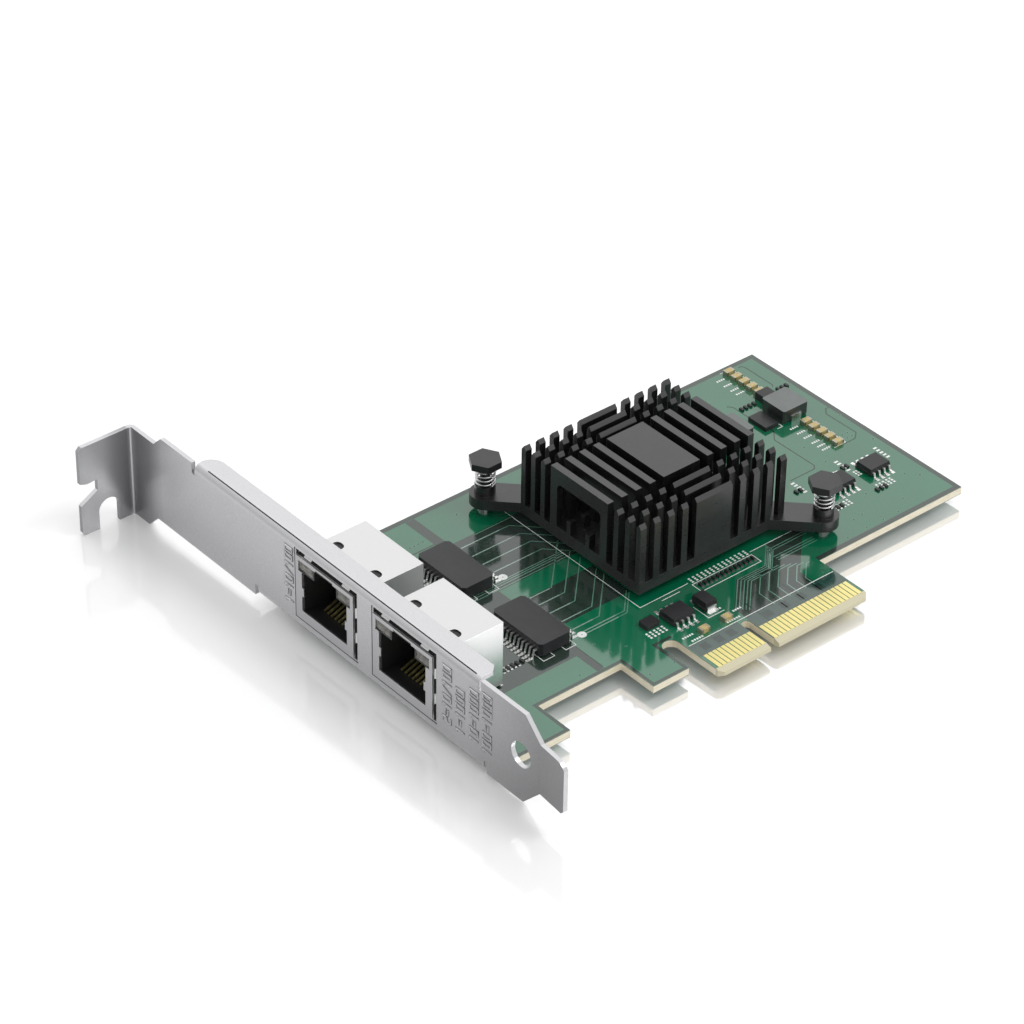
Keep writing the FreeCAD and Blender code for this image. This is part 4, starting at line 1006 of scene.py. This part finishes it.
def lamps(letter):
    """The two clear lamps of one socket, with a low dome in front that fills their pockets."""
    node = "jack_lamps_" + letter
    low, high = card_box(node)
    rim_y = low.y - LAMP_PROUD
    back_y = at(0.0, high.y).y
    bm = bmesh.new()
    for x0 in (low.x, high.x - LAMP_W):
        grid = []
        for i in range(LAMP_COLUMNS + 1):
            x = x0 + LAMP_W * i / LAMP_COLUMNS
            u = 2.0 * i / LAMP_COLUMNS - 1.0
            two_lobes = 0.75 + 0.25 * math.cos(2.0 * math.pi * u)
            column = []
            for k in range(LAMP_ROWS + 1):
                z = low.z + (high.z - low.z) * k / LAMP_ROWS
                v = 2.0 * k / LAMP_ROWS - 1.0
                dome = LAMP_DOME * (1.0 - u ** 6) * (1.0 - v * v) * two_lobes
                column.append(bm.verts.new(at(x, rim_y - dome, z)))
            grid.append(column)
        for column, following in zip(grid, grid[1:]):
            quads(bm, column, following, closed=False)
        rim = [column[0] for column in grid] + grid[-1][1:]
        rim += [column[-1] for column in grid[-2::-1]] + grid[0][-2:0:-1]
        back = [bm.verts.new((corner.co.x, back_y, corner.co.z)) for corner in rim]
        quads(bm, rim, back)
        bm.faces.new(back)
    bmesh.ops.recalc_face_normals(bm, faces=bm.faces)
    piece = finished("lamps_" + letter, bm, MATERIALS["clear_plastic"])
    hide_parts(node)


for letter in "ab":
    lamps(letter)


# Painted dark reflection along the bracket's bend

# The bend's outer radius, the line's two edges in degrees round it, and its two ends
BEND_R = 1.70
BEND_TURNS = (58.0, 66.0)
BEND_X = (-84.5, -10.6)


def bend_painted_reflection():
    """A thin dark strip along the outer bend of the top flange, a painted dark reflection."""
    radius = BEND_R + LIFT
    bm = bmesh.new()
    rows = []
    for turn in map(math.radians, BEND_TURNS):
        y = FACE_Y + BEND_R - radius * math.cos(turn)
        z = BRACKET_TOP - BEND_R + radius * math.sin(turn)
        rows.append([bm.verts.new(at(x, y, z)) for x in BEND_X])
    quads(bm, *rows, closed=False)
    finished("bend_painted_reflections", bm, BEND_REFLECTION)


bend_painted_reflection()


# Springs of the heat sink's screws

# The wire's radius is in metres, as the spring's box is
WIRE_R = 0.19 * MM
COIL_TURNS = 5.0
COIL_STEPS = 150
COIL_SIDES = 8
COIL_FLAT = 0.08


def spring(side):
    """A round coil in place of the CAD spring of straight runs, with its end turns laid flat."""
    node = "heat_sink_spring_" + side
    low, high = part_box(node)
    radius = (high.x - low.x) / 2 - WIRE_R
    centre = (low + high) / 2
    bm = bmesh.new()
    rings = []
    for i in range(COIL_STEPS + 1):
        part = i / COIL_STEPS
        turn = 2 * math.pi * COIL_TURNS * part
        rise = min(1.0, max(0.0, (part - COIL_FLAT) / (1.0 - 2.0 * COIL_FLAT)))
        z = low.z + WIRE_R + (high.z - low.z - 2 * WIRE_R) * rise
        out = Vector((math.cos(turn), math.sin(turn), 0.0))
        spot = Vector((centre.x, centre.y, z)) + out * radius
        ring = []
        for k in range(COIL_SIDES):
            a = 2 * math.pi * k / COIL_SIDES
            across = out * math.cos(a) + Vector((0.0, 0.0, math.sin(a)))
            ring.append(bm.verts.new(spot + across * WIRE_R))
        rings.append(ring)
    for first, second in zip(rings, rings[1:]):
        quads(bm, first, second)
    bm.faces.new(rings[0])
    bm.faces.new(list(reversed(rings[-1])))
    bmesh.ops.recalc_face_normals(bm, faces=bm.faces)
    steel = MATERIALS["spring_steel"]
    piece = finished("spring_coil_" + side, bm, steel, smooth=True)
    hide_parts(node)


for side in ("left", "right"):
    spring(side)


# Floor, world and lamp

# The card rests on its tab and on the nuts under the board, so the floor leans a little
FLOOR_Z = -3.20
FLOOR_SLOPE = 0.020
FLOOR_HALF_M = 3.0
FLOOR_COLOR = (0.925, 0.925, 0.93)
FLOOR_MATTE = 0.90
FLOOR_ROUGHNESS = 0.09

# The floor mirrors less in front of the bracket's face than under the board
MIRROR_START_Y = -62.0
MIRROR_PER_METRE = 40.0
MIRROR_FRONT = 0.12
MIRROR_UNDER = 0.50

# Soft bright areas of the room, as a direction, the cosines of the angle from it where the
# light starts and is full, and the full light
GLOWS = (
    ((-0.617, 0.526, 0.585), 0.55, 0.90, 0.85),
    ((-0.617, -0.585, 0.526), 0.66, 0.90, 0.45),
    ((1.0, -0.3, 0.2), 0.60, 0.92, 0.80),
    ((0.585, 0.526, 0.617), 0.70, 0.95, 0.45),
)

KEY_PLACE = Vector((0.35, 0.30, 0.75))
KEY_SIZE = 0.35
KEY_POWER = 2.0


def floor():
    """A white floor, mostly matte and partly glowing, under a faint mirror."""
    n = Look("floor")
    n.tree.nodes.remove(n.shader)
    output = [node for node in n.tree.nodes if node.type == "OUTPUT_MATERIAL"][0]
    white = n.add("ShaderNodeEmission")
    white.inputs["Strength"].default_value = 1.0
    matte = n.add("ShaderNodeBsdfDiffuse")
    n.feed(FLOOR_COLOR, matte.inputs["Color"])
    gloss = n.add("ShaderNodeBsdfGlossy")
    n.feed((1.0, 1.0, 1.0), gloss.inputs["Color"])
    n.feed(FLOOR_ROUGHNESS, gloss.inputs["Roughness"])
    base = n.mix_shaders(FLOOR_MATTE, white.outputs[0], matte.outputs[0])
    inward = n.along(Y_AXIS, at(0.0, MIRROR_START_Y).y, MIRROR_PER_METRE)
    mirror = n.ramp(inward, [(0.0, MIRROR_FRONT), (1.0, MIRROR_UNDER)])
    n.feed(n.mix_shaders(mirror, base, gloss.outputs[0]), output.inputs["Surface"])

    bm = bmesh.new()
    bmesh.ops.create_grid(bm, x_segments=1, y_segments=1, size=FLOOR_HALF_M)
    origin = at(0.0, 0.0, FLOOR_Z)
    for corner in bm.verts:
        corner.co.z = origin.z + FLOOR_SLOPE * (corner.co.x - origin.x)
    mesh = bpy.data.meshes.new("floor")
    bm.to_mesh(mesh)
    bm.free()
    mesh.materials.append(n.material)
    piece = bpy.data.objects.new("floor", mesh)
    scene.collection.objects.link(piece)


def world():
    """A grey room, lighter overhead and toward the contacts, with soft bright areas."""
    scene.world = bpy.data.worlds.new("studio")
    scene.world.use_nodes = True
    n = Tree(scene.world.node_tree)
    n.tree.nodes.clear()
    outward = n.add("ShaderNodeTexCoord").outputs["Generated"]
    up = n.toward(outward, (0.0, 0.0, 1.0))
    height = n.ramp(up, [(0.0, 0.46), (0.45, 0.52), (0.75, 0.56), (1.0, 0.60)])
    side = n.ramp(n.toward(outward, (1.0, -0.25, 0.3)), [(0.0, 0.80), (0.9, 1.0)])
    light = n.mix(1.0, height, side, "MULTIPLY")
    for direction, start, full, level in GLOWS:
        glow = n.ramp(n.toward(outward, direction), [(start, 0.0), (full, level)])
        light = n.mix(1.0, light, glow, "ADD")
    lit = n.add("ShaderNodeBackground")
    n.feed(1.0, lit.inputs["Strength"])
    n.feed(light, lit.inputs["Color"])
    n.feed(lit.outputs[0], n.add("ShaderNodeOutputWorld").inputs["Surface"])


def key_lamp():
    """A soft lamp above the card, aimed at it."""
    data = bpy.data.lights.new("key", "AREA")
    data.shape = "DISK"
    data.size = KEY_SIZE
    data.energy = KEY_POWER
    piece = bpy.data.objects.new("key", data)
    piece.location = KEY_PLACE
    piece.rotation_mode = "QUATERNION"
    piece.rotation_quaternion = (-KEY_PLACE).to_track_quat("-Z", "Y")
    scene.collection.objects.link(piece)


floor()
world()
key_lamp()
